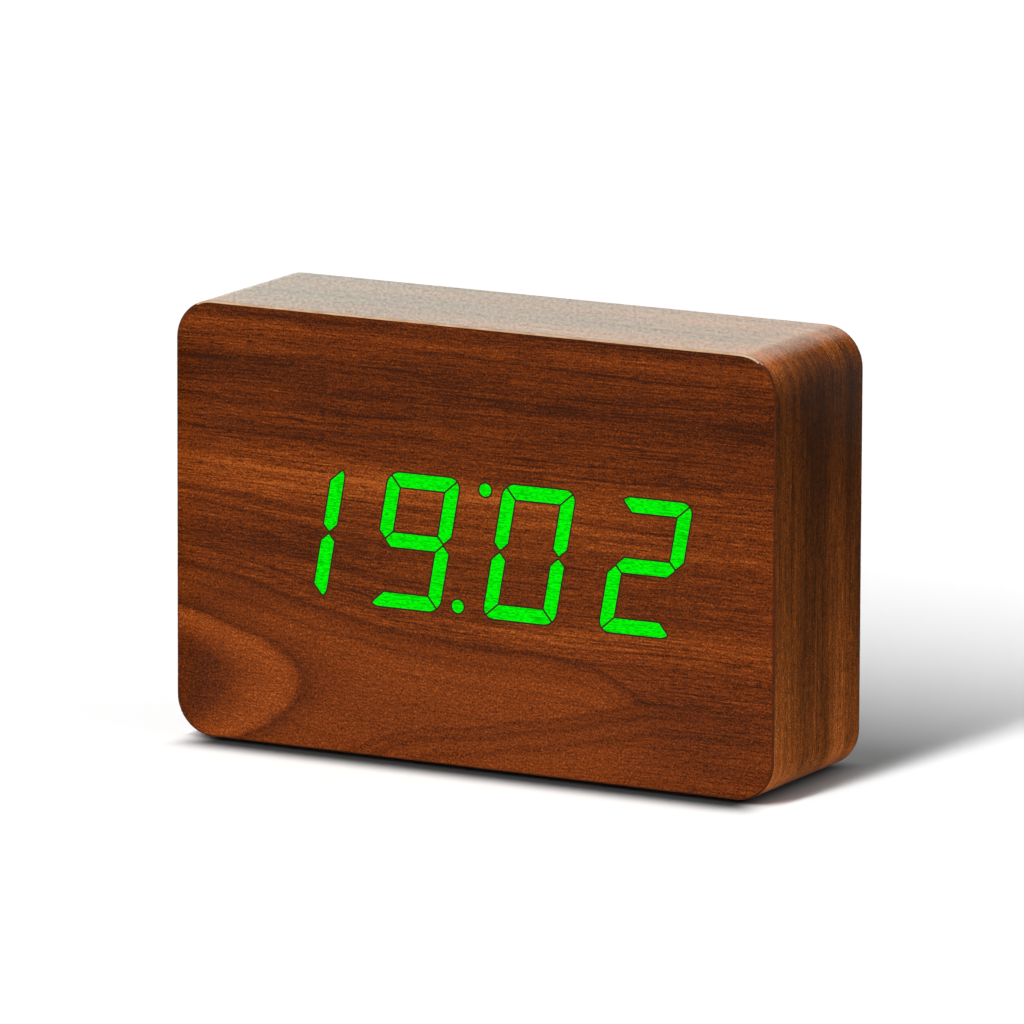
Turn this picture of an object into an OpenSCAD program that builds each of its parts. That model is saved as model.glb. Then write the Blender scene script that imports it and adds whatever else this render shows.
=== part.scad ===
// Wooden digital alarm clock: a walnut-veneered block that stands on four pads, with a lit
// seven-segment time behind the front veneer and the controls and batteries in a recessed rear panel.
// Millimetres. +Z is up, the front faces -Y, and the origin is under the middle of the pads.

/* [Case] */
// Width of the wooden case
clock_w = 150; // [148:1:180]
// Height of the wooden case, without the pads
clock_h = 99; // [97:1:130]
// Depth of the wooden case, front to back
clock_d = 42; // [40:1:60]
// Radius of the four long corners
corner_r = 9; // [6:0.5:14]
// Thickness of the walnut veneer
veneer_t = 0.6; // [0.5:0.1:1]
// Chamfer on the outer edges of the front and back veneer
edge_ease = 0.35; // [0.1:0.05:0.4]
// Thickness of the front board
front_board_t = 4; // [3.5:0.5:6]
// Width and height of the blocks in the corners of the cavity
block_leg = 9; // [8:0.5:10]
// Length of the corner blocks, front to back
block_len = 16; // [12:1:18]
// Diameter of a pad
foot_d = 10; // [6:0.5:12]
// Height of a pad
foot_h = 1; // [0.6:0.1:3]
// Distance of a pad's centre from the case's sides
foot_inset_x = 16; // [14:1:30]
// Distance of a pad's centre from the front and back faces
foot_inset_y = 8; // [7:0.5:10]

/* [Display] */
// The four digits of the time that is lit
lit_time = [1, 9, 0, 2];
// Height of a digit
digit_h = 30.6; // [26:0.2:32]
// Width of a digit, before it leans
digit_w = 18; // [15:0.2:18.4]
// Width of a segment's stroke
stroke_w = 3.3; // [2.6:0.1:3.8]
// Distance from one digit to the next
digit_pitch = 28.9; // [26:0.1:29.5]
// Lean of the digits, in degrees
slant = 10; // [0:0.5:12]
// Gap between neighbouring segments
segment_gap = 0.3; // [0.2:0.05:0.5]
// Gap between the tips of the upper and lower segments
tip_gap = 0.6; // [0.3:0.05:1]
// Radius of a digit's outer corners
digit_corner_r = 2.8; // [1:0.1:3.2]
// Diameter of the colon's dots
dot_d = 3; // [2:0.1:3.6]
// Height of a dot above or below the middle of the display
dot_rise = 13.4; // [9:0.1:14]
// Distance of a dot to the side of the display's middle
dot_lean = 3.4; // [1:0.1:3.6]
// Thickness of the mask's flange behind the front board
mask_flange_t = 2; // [1.5:0.1:3]
// Thickness of the light diffusers in the mask
lens_t = 2; // [1:0.1:3]
// Thickness of both circuit boards
pcb_t = 1.6; // [1:0.1:2]
// Length, width and height of a light-emitting chip
led_size = [2, 1.2, 0.8];

/* [Rear panel] */
// Width of the ledge that the panel sits on, around the cavity
panel_ledge = 3; // [2:0.2:4]
// Depth of the panel's face below the back of the case
panel_recess = 1.4; // [1.2:0.1:3]
// Thickness of the panel
panel_t = 2.5; // [2.3:0.1:3]
// Corner radius of the panel's seat
panel_r = 6; // [4:0.5:8]
// Gap around the panel in its seat
panel_clear = 0.25; // [0.1:0.05:0.4]
// Depth of the rib that locates the panel in the cavity
panel_rib_h = 4; // [2:0.5:6]
// Thickness of the panel's inner walls and ribs
panel_wall = 1.4; // [1.2:0.1:1.8]

/* [Batteries] */
// Diameter of a cell
cell_d = 10.5; // [10:0.1:10.6]
// Length of a cell with its nub
cell_len = 44.5; // [43.5:0.1:44.6]
// Distance from one cell to the next
cell_pitch = 11; // [10.8:0.1:11.2]
// Length that a spring fills behind a cell
spring_len = 5; // [4.6:0.1:5.4]
// Diameter of the spring wire
spring_wire = 0.6; // [0.5:0.05:0.7]
// Turns of a spring
spring_turns = 4; // [3:0.5:4]
// Gap between the battery bay and the rib beside it
bay_gap = 1; // [0.5:0.1:2]
// Height of the battery bay's middle, from the middle of the control board
bay_rise = -5; // [-6:0.5:-4]
// Thickness of the battery door
door_t = 2; // [1.8:0.1:2.1]
// Width of the ledge that the door closes on
door_ledge = 2; // [1.6:0.1:2.2]
// Gap around the battery door
door_clear = 0.2; // [0.15:0.05:0.3]
// Diameter of the door's hinge pins
hinge_pin_d = 1.2; // [1:0.1:1.3]
// Length of a hinge pin outside the door
hinge_pin_len = 1.6; // [1:0.1:1.8]

/* [Controls] */
// Diameter of the push buttons
button_d = 7; // [6:0.1:8]
// Height of a button above the panel
button_proud = 0.9; // [0.7:0.1:1.1]
// Travel of a button
button_travel = 0.3; // [0.2:0.05:0.4]
// Distance from one button to the next
button_pitch = 15; // [13:0.5:15.5]
// Middle button, from the middle of the control board
buttons_from = [-0.5, 14];
// Travel of the alarm slider
slider_travel = 2; // [1.5:0.1:2.5]
// Middle of the alarm slider's slot, from the middle of the control board
slider_from = [12.5, -1];
// Length, height and thickness of the alarm slider's cap
slider_size = [7, 4.4, 1];
// Middle of the sounder's grille, from the middle of the control board
grille_from = [-11.5, -3];
// Diameter of a hole in the grille
grille_hole_d = 1.5; // [1:0.1:1.6]
// Distance from one grille hole to the next
grille_pitch = 2.6; // [2.4:0.1:2.8]
// Middle of the microphone's hole, from the middle of the control board
mic_from = [1.5, -13];
// Width and height of the control board
control_size = [49, 48];
// Distance of the power socket to the side of the control board's middle
jack_side = 14.5; // [8:0.5:16]
// Bore of the power socket
jack_bore_d = 5.6; // [5.4:0.1:6.2]
// Diameter of the power socket's centre pin
jack_pin_d = 2; // [1.6:0.1:2.5]
// Depth of the power socket
jack_depth = 9.5; // [8.5:0.5:10]

/* [Hidden] */
$fn = 48;

// Levels along Y, from the front of the case to its back
front_y = -clock_d / 2;
back_y = clock_d / 2;
board_front_y = front_y + veneer_t;
board_back_y = board_front_y + front_board_t;
frame_back_y = back_y - veneer_t;
panel_out_y = back_y - panel_recess;
panel_in_y = panel_out_y - panel_t;
display_front_y = board_back_y + mask_flange_t;
display_back_y = display_front_y + pcb_t;
mid_z = foot_h + clock_h / 2;

// Sizes of the case
core_w = clock_w - 2 * veneer_t;
core_h = clock_h - 2 * veneer_t;
core_r = corner_r - veneer_t;

// Sizes of the display
display_margin = 3;
flange_side = 3;
flange_rise = 7.5;
window_w = 3 * digit_pitch + digit_w + digit_h * tan(slant) + 2 * display_margin;
window_h = digit_h + 2 * display_margin;
window_r = 3;
mask_fit = 0.15;
board_w = window_w + 2 * flange_side;
board_h = window_h + 2 * flange_rise;
display_screw_x = board_w / 2 - 9;
display_screw_z = board_h / 2 - 3.6;
half_w = digit_w / 2;
half_h = digit_h / 2;
mitre_cut = segment_gap / sqrt(2);
mitre_angle = asin(segment_gap / 2 / digit_corner_r);
led_spread = 2.6;
SEGMENT_NAMES = "abcdefg";
SEGMENTS_OF = ["abcdef", "bc", "abged", "abgcd", "fgbc", "afgcd", "afgedc", "abc", "abcdefg", "abcdfg"];

// The cavity is as wide as the display board needs, and as high as the power socket, the control board above
// it and the ribs need, to a tenth of a millimetre
rib_fit = 0.3;
rib_zone = rib_fit + panel_wall;
cavity_side_gap = 2;
control_top_gap = 7.8;
jack_board_gap = 4;
jack_edge_gap = 1.5;
jack_d = 8;
jack_nut_af = 11;
jack_nut_r = jack_nut_af / 2 / cos(30);
jack_stack = jack_board_gap + jack_d / 2 + jack_nut_r + jack_edge_gap;
cavity_w = round(10 * (board_w + 2 * cavity_side_gap)) / 10;
cavity_h = round(10 * (2 * rib_zone + control_top_gap + control_size[1] + jack_stack)) / 10;
side_wall = (core_w - cavity_w) / 2;
level_wall = (core_h - cavity_h) / 2;
seat_w = cavity_w + 2 * panel_ledge;
seat_h = cavity_h + 2 * panel_ledge;
panel_w = seat_w - 2 * panel_clear;
panel_h = seat_h - 2 * panel_clear;
panel_screw_x = (cavity_w - block_leg) / 2;
panel_screw_z = (cavity_h - block_leg) / 2;

// Places on the rear panel, from its middle
control_block_gap = 2;
control_at = [(cavity_w - control_size[0]) / 2 - block_leg - control_block_gap,
              (cavity_h - control_size[1]) / 2 - rib_zone - control_top_gap];
buttons_at = control_at + buttons_from;
slider_at = control_at + slider_from;
grille_at = control_at + grille_from;
mic_at = control_at + mic_from;
jack_at = [control_at[0] + jack_side, rib_zone + jack_edge_gap + jack_nut_r - cavity_h / 2];

// Sizes of the battery bay
CELLS = 4;
contact_t = 0.3;
nub_d = 3.8;
nub_h = 1;
spring_coil_d = 6;
bay_w = cell_len + spring_len + 2 * contact_t;
bay_h = CELLS * cell_pitch;
collar_w = bay_w + 2 * (door_ledge + panel_wall);
collar_h = bay_h + 2 * (door_ledge + panel_wall);
bay_at = [(collar_w - cavity_w) / 2 + rib_zone + bay_gap, control_at[1] + bay_rise];
door_w = bay_w + 2 * door_ledge - 2 * door_clear;
door_h = bay_h + 2 * door_ledge - 2 * door_clear;
door_in_y = panel_out_y - door_t;
door_seat_gap = 0.15;
ledge_y = door_in_y - door_seat_gap;
collar_t = 2;
cell_drop = 0.5;
cell_y = door_in_y - cell_drop - cell_d / 2;
cell_fit = 0.2;
bay_floor_y = cell_y - cell_d / 2 - cell_fit;
hinge_y = panel_out_y - door_t / 2;
hinge_z = mid_z + bay_at[1] - door_h / 2 + door_t / 2;
hinge_fit = 0.05;
latch_w = 14;
latch_len = 9;
latch_slit = 0.7;
latch_leg_t = 1;
latch_leg_h = 1.8;
latch_leg_gap = 0.2;
grip_ridge = 0.8;
grip_h = 0.4;

// Sizes of the control board and what it carries
boss_len = 6.5;
boss_d = 5;
boss_hole_d = 1.7;
control_back_y = panel_in_y - boss_len;
control_front_y = control_back_y - pcb_t;
control_corner_r = 2;
control_screw_inset = 4;
control_screw_rise = 7.5;
control_screw_at = [for (x = [-1, 1], z = [control_screw_rise, control_size[1] - control_screw_inset])
    control_at + [x * (control_size[0] / 2 - control_screw_inset), z - control_size[1] / 2]];
button_fit = 0.2;
button_flange_d = button_d + 2;
button_flange_t = 0.8;
button_flange_gap = 0.15;
stem_d = 4;
tact_w = 6;
tact_h = 3.4;
plunger_d = 3.5;
plunger_proud = 1.6;
plunger_seat = 1;
plunger_fit = 0.05;
plunger_y = control_back_y + tact_h + plunger_proud;
switch_size = [9, 3.8, 3.6];
lever_w = 2;
lever_seat = 1.2;
slider_fit = 0.3;
slider_gap = 0.15;
slider_grip_h = 0.7;
slider_recess = slider_size[2] + slider_gap;
buzzer_d = 12;
buzzer_gap = 0.4;
mic_d = 6;
mic_len = 4.6;
mic_hole_d = 1.6;

// Sizes of the power socket
jack_fit = 0.1;
jack_flange_d = 11;
jack_flange_t = 1.2;
jack_len = jack_depth + 2.2;
jack_tail_y = panel_out_y - jack_len;
jack_pin_short = 1;
jack_nut_t = 2;
jack_tag_gap = 4;
lead_d = 1.2;

// Sizes of the fasteners
panel_screw = [5.2, 1.6, 2.6, 10];
panel_screw_sink = 0.9;
board_screw = [4, 1.3, 1.6, 6];
display_screw = [4, 1.3, 1.6, 6.2];
thread_fit = 0.03;
screw_hole_fit = 0.2;
cross_w = 0.8;

// Shapes that several pieces share

// A rectangle with round corners, in the plane of the panel
module rounded_rect(w, h, r) {
    square([w - 2 * r, h], center = true);
    square([w, h - 2 * r], center = true);
    for (x = [-1, 1], z = [-1, 1])
        translate([x * (w / 2 - r), z * (h / 2 - r)]) circle(r);
}

// A prism from a shape drawn in X and Z, from y to y + t, at the height of the clock's middle
module slab(y, t) {
    translate([0, y + t, mid_z]) rotate([90, 0, 0]) linear_extrude(t) children();
}

// Children placed on the panel, with their Z axis pointing out of the back at level y
module on_back(at, y) {
    translate([at[0], y, mid_z + at[1]]) rotate([-90, 0, 0]) children();
}

// One long side of a chamfered edge, as a bar of trapezoid section
module eased_bar(run, across, ease) {
    rotate([90, 0, 90]) translate([0, 0, -run / 2]) linear_extrude(run)
        polygon([[-across / 2, 0], [across / 2, 0], [across / 2 - ease, ease], [ease - across / 2, ease]]);
}

// A slab with round corners whose upper edge has a chamfer
module eased_slab(w, h, r, t, ease) {
    linear_extrude(t - ease) rounded_rect(w, h, r);
    translate([0, 0, t - ease]) {
        eased_bar(w - 2 * r, h, ease);
        rotate([0, 0, 90]) eased_bar(h - 2 * r, w, ease);
        for (x = [-1, 1], y = [-1, 1])
            translate([x * (w / 2 - r), y * (h / 2 - r), 0]) cylinder(h = ease, r1 = r, r2 = r - ease);
    }
}

// A pan-head screw along Z, with its head above z = 0: [head diameter, head height, shank diameter, length]
module pan_screw(size) {
    difference() {
        union() {
            cylinder(h = size[1] * 0.6, d = size[0]);
            translate([0, 0, size[1] * 0.6]) cylinder(h = size[1] * 0.4, d1 = size[0], d2 = size[0] * 0.75);
            translate([0, 0, -size[3]]) cylinder(h = size[3], d = size[2]);
        }
        for (a = [0, 90])
            rotate([0, 0, a]) translate([-size[0] * 0.3, -cross_w / 2, size[1] * 0.45])
                cube([size[0] * 0.6, cross_w, size[1]]);
    }
}

// A wire: straight for a length along X, then a quarter turn down to -Z
module bent_wire(run, bend_r) {
    rotate([0, 90, 0]) cylinder(h = run, d = lead_d);
    translate([run, 0, -bend_r]) rotate([90, 0, 0])
        rotate_extrude(angle = 90) translate([bend_r, 0]) circle(d = lead_d);
}

// Shapes of the display

function arc(c, r, from, to, steps) =
    [for (i = [0:steps]) let (a = from + (to - from) * i / steps) c + r * [cos(a), sin(a)]];
function flip_x(points) = [for (p = points) [-p[0], p[1]]];
function flip_z(points) = [for (p = points) [p[0], -p[1]]];
function reversed(points) = [for (i = [len(points) - 1:-1:0]) points[i]];
function lean(p) = [p[0] + p[1] * tan(slant), p[1]];

digit_corner = [half_w - digit_corner_r, half_h - digit_corner_r];
corner_steps = 5;

function bar_half() =
    concat([[half_w - stroke_w - mitre_cut, half_h - stroke_w]],
           arc(digit_corner, digit_corner_r, 45 + mitre_angle, 90, corner_steps));
function top_bar() = concat(bar_half(), flip_x(reversed(bar_half())));
function upper_post() =
    concat([[half_w - stroke_w, half_h - stroke_w - mitre_cut]],
           arc(digit_corner, digit_corner_r, 45 - mitre_angle, 0, corner_steps),
           [[half_w, (tip_gap + stroke_w) / 2], [half_w - stroke_w / 2, tip_gap / 2],
            [half_w - stroke_w, (tip_gap + stroke_w) / 2]]);
function middle_bar() =
    let (tip = half_w - (stroke_w - tip_gap) / 2 - segment_gap * sqrt(2), side = tip - stroke_w / 2)
    [[tip, 0], [side, stroke_w / 2], [-side, stroke_w / 2],
     [-tip, 0], [-side, -stroke_w / 2], [side, -stroke_w / 2]];

// The outline of one segment of an upright digit, by its usual letter
function segment_outline(name) =
    name == "a" ? top_bar()
    : name == "b" ? upper_post()
    : name == "c" ? flip_z(upper_post())
    : name == "d" ? flip_z(top_bar())
    : name == "e" ? flip_x(flip_z(upper_post()))
    : name == "f" ? flip_x(upper_post())
    : middle_bar();

// The middle of one segment, and whether it lies along X
function segment_middle(name) =
    let (bar = half_h - stroke_w / 2, post = half_w - stroke_w / 2, rise = (half_h - stroke_w / 2) / 2)
    name == "a" ? [0, bar] : name == "d" ? [0, -bar] : name == "g" ? [0, 0]
    : [(name == "b" || name == "c" ? 1 : -1) * post, (name == "b" || name == "f" ? 1 : -1) * rise];
function lies_flat(name) = name == "a" || name == "d" || name == "g";

function digit_x(place) = (place - 1.5) * digit_pitch;

module segment(place, name) {
    translate([digit_x(place), 0]) polygon([for (p = segment_outline(name)) lean(p)]);
}

module colon() {
    for (side = [-1, 1]) translate(side * [dot_lean, dot_rise]) circle(d = dot_d);
}

module every_segment() {
    for (place = [0:3], name = SEGMENT_NAMES) segment(place, name);
    colon();
}

module lit_shapes() {
    for (place = [0:3], name = SEGMENTS_OF[lit_time[place]]) segment(place, name);
    colon();
}

// Wooden case

// The four boards before they are cut apart: a ring with a seat for the rear panel
module board_ring() {
    difference() {
        slab(board_back_y, frame_back_y - board_back_y) rounded_rect(core_w, core_h, core_r);
        slab(board_back_y - 1, clock_d) square([cavity_w, cavity_h], center = true);
        slab(panel_in_y, clock_d) rounded_rect(seat_w, seat_h, panel_r);
    }
}

// A side takes its two round corners from the ring
module side(way) {
    color("burlywood") intersection() {
        board_ring();
        slab(front_y, clock_d) translate([way * (core_w - side_wall) / 2, 0])
            square([side_wall, core_h], center = true);
    }
}

module left_side() { side(-1); }
module right_side() { side(1); }

// The top and the bottom fit between the sides
module between_sides(way) {
    color("burlywood") intersection() {
        board_ring();
        slab(front_y, clock_d) translate([0, way * (core_h - level_wall) / 2])
            square([cavity_w, level_wall], center = true);
    }
}

module top_board() { between_sides(1); }
module bottom_board() { between_sides(-1); }

// Glued into the corners behind the panel, for its screws
module corner_blocks() {
    far_x = cavity_w / 2;
    far_z = cavity_h / 2;
    near_x = far_x - block_leg;
    near_z = far_z - block_leg;
    bevel = block_leg / 2;
    outline = [[far_x, far_z], [near_x, far_z], [near_x, far_z - bevel],
               [far_x - bevel, near_z], [far_x, near_z]];
    color("tan") difference() {
        for (x = [-1, 1], z = [-1, 1])
            slab(panel_in_y - block_len, block_len) polygon([for (p = outline) [x * p[0], z * p[1]]]);
        panel_screw_places() translate([0, 0, -panel_screw[3]])
            cylinder(h = panel_screw[3] + 1, d = panel_screw[2] + 2 * thread_fit);
    }
}

module front_board() {
    color("burlywood") difference() {
        slab(board_front_y, front_board_t) rounded_rect(core_w, core_h, core_r);
        slab(board_front_y - 1, front_board_t + 2) rounded_rect(window_w, window_h, window_r);
        display_screw_places() translate([0, 0, -display_screw[3]])
            cylinder(h = display_screw[3] + 1, d = display_screw[2] + 2 * thread_fit);
    }
}

module wrap_veneer() {
    color("saddlebrown") slab(board_front_y, frame_back_y - board_front_y) difference() {
        rounded_rect(clock_w, clock_h, corner_r);
        rounded_rect(core_w, core_h, core_r);
    }
}

module front_veneer() {
    color("sienna") difference() {
        translate([0, board_front_y, mid_z]) rotate([90, 0, 0])
            eased_slab(clock_w, clock_h, corner_r, veneer_t, edge_ease);
        slab(front_y - 1, veneer_t + 2) lit_shapes();
    }
}

module lit_segments() {
    color("lime") slab(front_y, veneer_t) lit_shapes();
}

module back_veneer() {
    color("sienna") difference() {
        translate([0, frame_back_y, mid_z]) rotate([-90, 0, 0])
            eased_slab(clock_w, clock_h, corner_r, veneer_t, edge_ease);
        slab(frame_back_y - 1, veneer_t + 2) rounded_rect(seat_w, seat_h, panel_r);
    }
}

module rubber_feet() {
    foot_ease = foot_h * 0.3;
    color("dimgray") for (x = [-1, 1], y = [-1, 1])
        translate([x * (clock_w / 2 - foot_inset_x), y * (clock_d / 2 - foot_inset_y), 0]) {
            cylinder(h = foot_ease, d1 = foot_d - 2 * foot_ease, d2 = foot_d);
            translate([0, 0, foot_ease]) cylinder(h = foot_h - foot_ease, d = foot_d);
        }
}

// Display behind the front veneer

module display_screw_places() {
    for (x = [-1, 1], z = [-1, 1])
        on_back([x * display_screw_x, z * display_screw_z], display_back_y) children();
}

module segment_mask() {
    color([0.1, 0.1, 0.1]) difference() {
        union() {
            slab(board_front_y, front_board_t + mask_flange_t)
                rounded_rect(window_w - 2 * mask_fit, window_h - 2 * mask_fit, window_r - mask_fit);
            slab(board_back_y, mask_flange_t) rounded_rect(board_w, board_h, window_r);
        }
        slab(board_front_y - 1, front_board_t + mask_flange_t + 2) every_segment();
        display_screw_places() translate([0, 0, -display_screw[3]])
            cylinder(h = display_screw[3] + 1, d = display_screw[2] + 2 * screw_hole_fit);
    }
}

// The diffusers fill the front of the mask's wells and carry the light to the back of the veneer
module segment_lenses() {
    color("honeydew") slab(board_front_y, lens_t) every_segment();
}

module display_board() {
    color("darkgreen") difference() {
        slab(display_front_y, pcb_t) rounded_rect(board_w, board_h, window_r);
        display_screw_places() translate([0, 0, -display_screw[3]])
            cylinder(h = display_screw[3] + 1, d = display_screw[2] + 2 * screw_hole_fit);
    }
}

// Two light-emitting chips stand in each well, and one behind each dot
module segment_leds() {
    color("palegreen") {
        for (place = [0:3], name = SEGMENT_NAMES, side = [-1, 1]) {
            flat = lies_flat(name);
            at = lean(segment_middle(name) + side * led_spread * (flat ? [1, 0] : [0, 1]));
            led([digit_x(place), 0] + at, flat ? 0 : 90);
        }
        for (side = [-1, 1]) led(side * [dot_lean, dot_rise], 0);
    }
}

module led(at, turn) {
    translate([at[0], display_front_y - led_size[2] / 2, mid_z + at[1]]) rotate([0, turn, 0])
        cube([led_size[0], led_size[2], led_size[1]], center = true);
}

leg_pitch = 1.27;
leg_w = 0.42;
leg_t = 0.25;
leg_reach = 0.7;
leg_root = 0.1;
chip_stand = 0.15;

// A flat chip package on a board's face at z = 0, with a row of bent legs along each long side
module chip(size, legs) {
    lift = size[2] / 2 + chip_stand;
    translate([0, 0, lift]) cube(size, center = true);
    for (i = [0:legs - 1], turn = [0, 180])
        rotate([0, 0, turn]) translate([(i - (legs - 1) / 2) * leg_pitch, size[1] / 2, 0]) chip_leg(lift);
}

// A leg that leaves its package at a height, drops and ends in a foot
module chip_leg(lift) {
    knee = leg_reach - leg_t;
    translate([-leg_w / 2, 0, 0]) rotate([90, 0, 90]) linear_extrude(leg_w)
        polygon([[-leg_root, lift], [leg_reach, lift], [leg_reach, leg_t], [2 * leg_reach, leg_t],
                 [2 * leg_reach, 0], [knee, 0], [knee, lift - leg_t], [-leg_root, lift - leg_t]]);
}

driver_at = [[-26, 10], [18, 10]];
driver_size = [17.9, 7.5, 2.3];
driver_legs = 14;

module driver_chips() {
    color([0.12, 0.12, 0.13]) for (at = driver_at) on_back(at, display_back_y) chip(driver_size, driver_legs);
}

module display_screws() {
    color("silver") display_screw_places() pan_screw(display_screw);
}

// The flat cable leaves each socket square to its board and makes one S between them

ribbon_w = 12;
ribbon_t = 0.3;
ribbon_from = [2.5, -15];
ribbon_x = control_at[0] + ribbon_from[0];
ribbon_z = control_at[1] + ribbon_from[1];
ribbon_bend = 5;
socket_size = [15, 3.4, 4];
ribbon_front_y = display_back_y + socket_size[2];
ribbon_back_y = control_front_y - socket_size[2];
ribbon_straight = (ribbon_back_y - ribbon_front_y) / 2 - ribbon_bend;

module ribbon_sockets() {
    color("ivory") {
        on_back([ribbon_x, ribbon_z + 2 * ribbon_bend], display_back_y) socket();
        on_back([ribbon_x, ribbon_z], control_front_y) mirror([0, 0, 1]) socket();
    }
}

module socket() {
    translate([0, 0, socket_size[2] / 2]) difference() {
        cube([socket_size[0], socket_size[1], socket_size[2]], center = true);
        translate([0, 0, socket_size[2] / 2]) cube([ribbon_w + 0.6, ribbon_t + 0.6, 3], center = true);
    }
}

module ribbon_cable() {
    color("gainsboro") translate([ribbon_x - ribbon_w / 2, 0, mid_z]) rotate([90, 0, 90])
    linear_extrude(ribbon_w) {
        ribbon_end_run(ribbon_front_y, ribbon_z + 2 * ribbon_bend, 1);
        ribbon_end_run(ribbon_back_y, ribbon_z, -1);
        ribbon_turn([ribbon_front_y + ribbon_straight, ribbon_z + ribbon_bend], [1, 1]);
        ribbon_turn([ribbon_back_y - ribbon_straight, ribbon_z + ribbon_bend], [-1, -1]);
    }
}

// The straight stretch at one end, from inside the socket
module ribbon_end_run(y, z, way) {
    reach = 1;
    translate([y + (way > 0 ? -reach : -ribbon_straight), z - ribbon_t / 2])
        square([ribbon_straight + reach, ribbon_t]);
}

// A quarter turn of the cable about a centre, in one quadrant
module ribbon_turn(centre, quadrant) {
    translate(centre) intersection() {
        difference() {
            circle(ribbon_bend + ribbon_t / 2);
            circle(ribbon_bend - ribbon_t / 2);
        }
        translate([quadrant[0] > 0 ? 0 : -2 * ribbon_bend, quadrant[1] > 0 ? 0 : -2 * ribbon_bend])
            square(2 * ribbon_bend);
    }
}

// Rear panel and battery bay

module panel_screw_places() {
    for (x = [-1, 1], z = [-1, 1])
        on_back([x * panel_screw_x, z * panel_screw_z], panel_out_y - panel_screw_sink) children();
}

module in_bay(y, t) {
    translate([bay_at[0], 0, bay_at[1]]) slab(y, t) children();
}

module rear_panel() {
    panel_ease = 0.4;
    color([0.13, 0.13, 0.14]) difference() {
        union() {
            translate([0, panel_in_y, mid_z]) rotate([-90, 0, 0])
                eased_slab(panel_w, panel_h, panel_r - panel_clear, panel_t, panel_ease);
            slab(panel_in_y - panel_rib_h, panel_rib_h) locating_ribs();
            bay_shell();
            for (at = control_screw_at) on_back(at, control_back_y) cylinder(h = boss_len, d = boss_d);
        }
        bay_hollow();
        hinge_sockets();
        control_openings();
        for (at = control_screw_at) on_back(at, control_back_y - 1) cylinder(h = boss_len, d = boss_hole_d);
        panel_screw_places() {
            cylinder(h = panel_screw[1] + 1, d = panel_screw[0] + 2 * screw_hole_fit);
            translate([0, 0, -panel_t]) cylinder(h = panel_t + 1, d = panel_screw[2] + 2 * screw_hole_fit);
        }
    }
    bay_cradles();
}

// Ribs along the cavity's walls, between the corner blocks
module locating_ribs() {
    block_gap = 1;
    for (way = [-1, 1]) {
        translate([0, way * (cavity_h / 2 - rib_fit - panel_wall / 2)])
            square([cavity_w - 2 * (block_leg + block_gap), panel_wall], center = true);
        translate([way * (cavity_w / 2 - rib_fit - panel_wall / 2), 0])
            square([panel_wall, cavity_h - 2 * (block_leg + block_gap)], center = true);
    }
}

// The walls, the floor and the collar that stiffens the door's ledge
module bay_shell() {
    in_bay(bay_floor_y - panel_wall, panel_in_y - bay_floor_y + panel_wall)
        square([bay_w + 2 * panel_wall, bay_h + 2 * panel_wall], center = true);
    in_bay(panel_in_y - collar_t, collar_t)
        square([collar_w, collar_h], center = true);
}

module bay_hollow() {
    in_bay(bay_floor_y, clock_d) square([bay_w, bay_h], center = true);
    in_bay(ledge_y, clock_d) square([bay_w + 2 * door_ledge, bay_h + 2 * door_ledge], center = true);
    for (row = [0, CELLS - 1]) contact_slot(row);
}

// Saddles across the floor that keep each cell in its row
module bay_cradles() {
    cradle_t = 1.6;
    cradle_h = cell_d * 0.35;
    color([0.13, 0.13, 0.14]) for (x = [-1, 1])
        translate([bay_at[0] + x * bay_w * 0.26 - cradle_t / 2, 0, mid_z + bay_at[1]])
            rotate([90, 0, 90]) linear_extrude(cradle_t) difference() {
                translate([bay_floor_y - 0.01, -bay_h / 2]) square([cradle_h, bay_h]);
                for (row = [0:CELLS - 1]) translate([cell_y, row_z(row)]) circle(d = cell_d + 2 * cell_fit);
            }
}

module hinge_sockets() {
    reach = door_w / 2 + door_clear + hinge_pin_len + hinge_fit;
    translate([bay_at[0] - reach, hinge_y, hinge_z]) rotate([0, 90, 0])
        cylinder(h = 2 * reach, d = hinge_pin_d + 2 * hinge_fit);
}

module control_openings() {
    for (place = [-1, 0, 1]) button_place(place) translate([0, 0, -1])
        cylinder(h = panel_t + 2, d = button_d + 2 * button_fit);
    slider_openings();
    grille_places() translate([0, 0, -1]) cylinder(h = panel_t + 2, d = grille_hole_d, $fn = 24);
    on_back(mic_at, panel_in_y - 1) cylinder(h = panel_t + 2, d = mic_hole_d);
    on_back(jack_at, panel_in_y - 1) cylinder(h = panel_t + 2, d = jack_d + 2 * jack_fit);
}

module slider_openings() {
    translate([slider_at[0], 0, slider_at[1]]) {
        slab(panel_out_y - slider_recess, slider_recess + 1)
            square([slider_size[0] + slider_travel + 2 * slider_fit, slider_size[1] + 2 * slider_fit],
                   center = true);
        slab(panel_in_y - 1, panel_t)
            square([lever_w + slider_travel + 2 * slider_fit, lever_w + 2 * slider_fit], center = true);
    }
}

// Holes in rings of six around the middle one
module grille_places() {
    rings = 2;
    for (ring = [0:rings], i = [0:max(0, ring * 6 - 1)]) {
        side = floor(i / max(1, ring));
        step = i - side * ring;
        at = ring * grille_pitch * [cos(60 * side), sin(60 * side)]
            + step * grille_pitch * [cos(60 * side + 120), sin(60 * side + 120)];
        on_back(grille_at + at, panel_in_y) children();
    }
}

module panel_screws() {
    color("dimgray") panel_screw_places() pan_screw(panel_screw);
}

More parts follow.
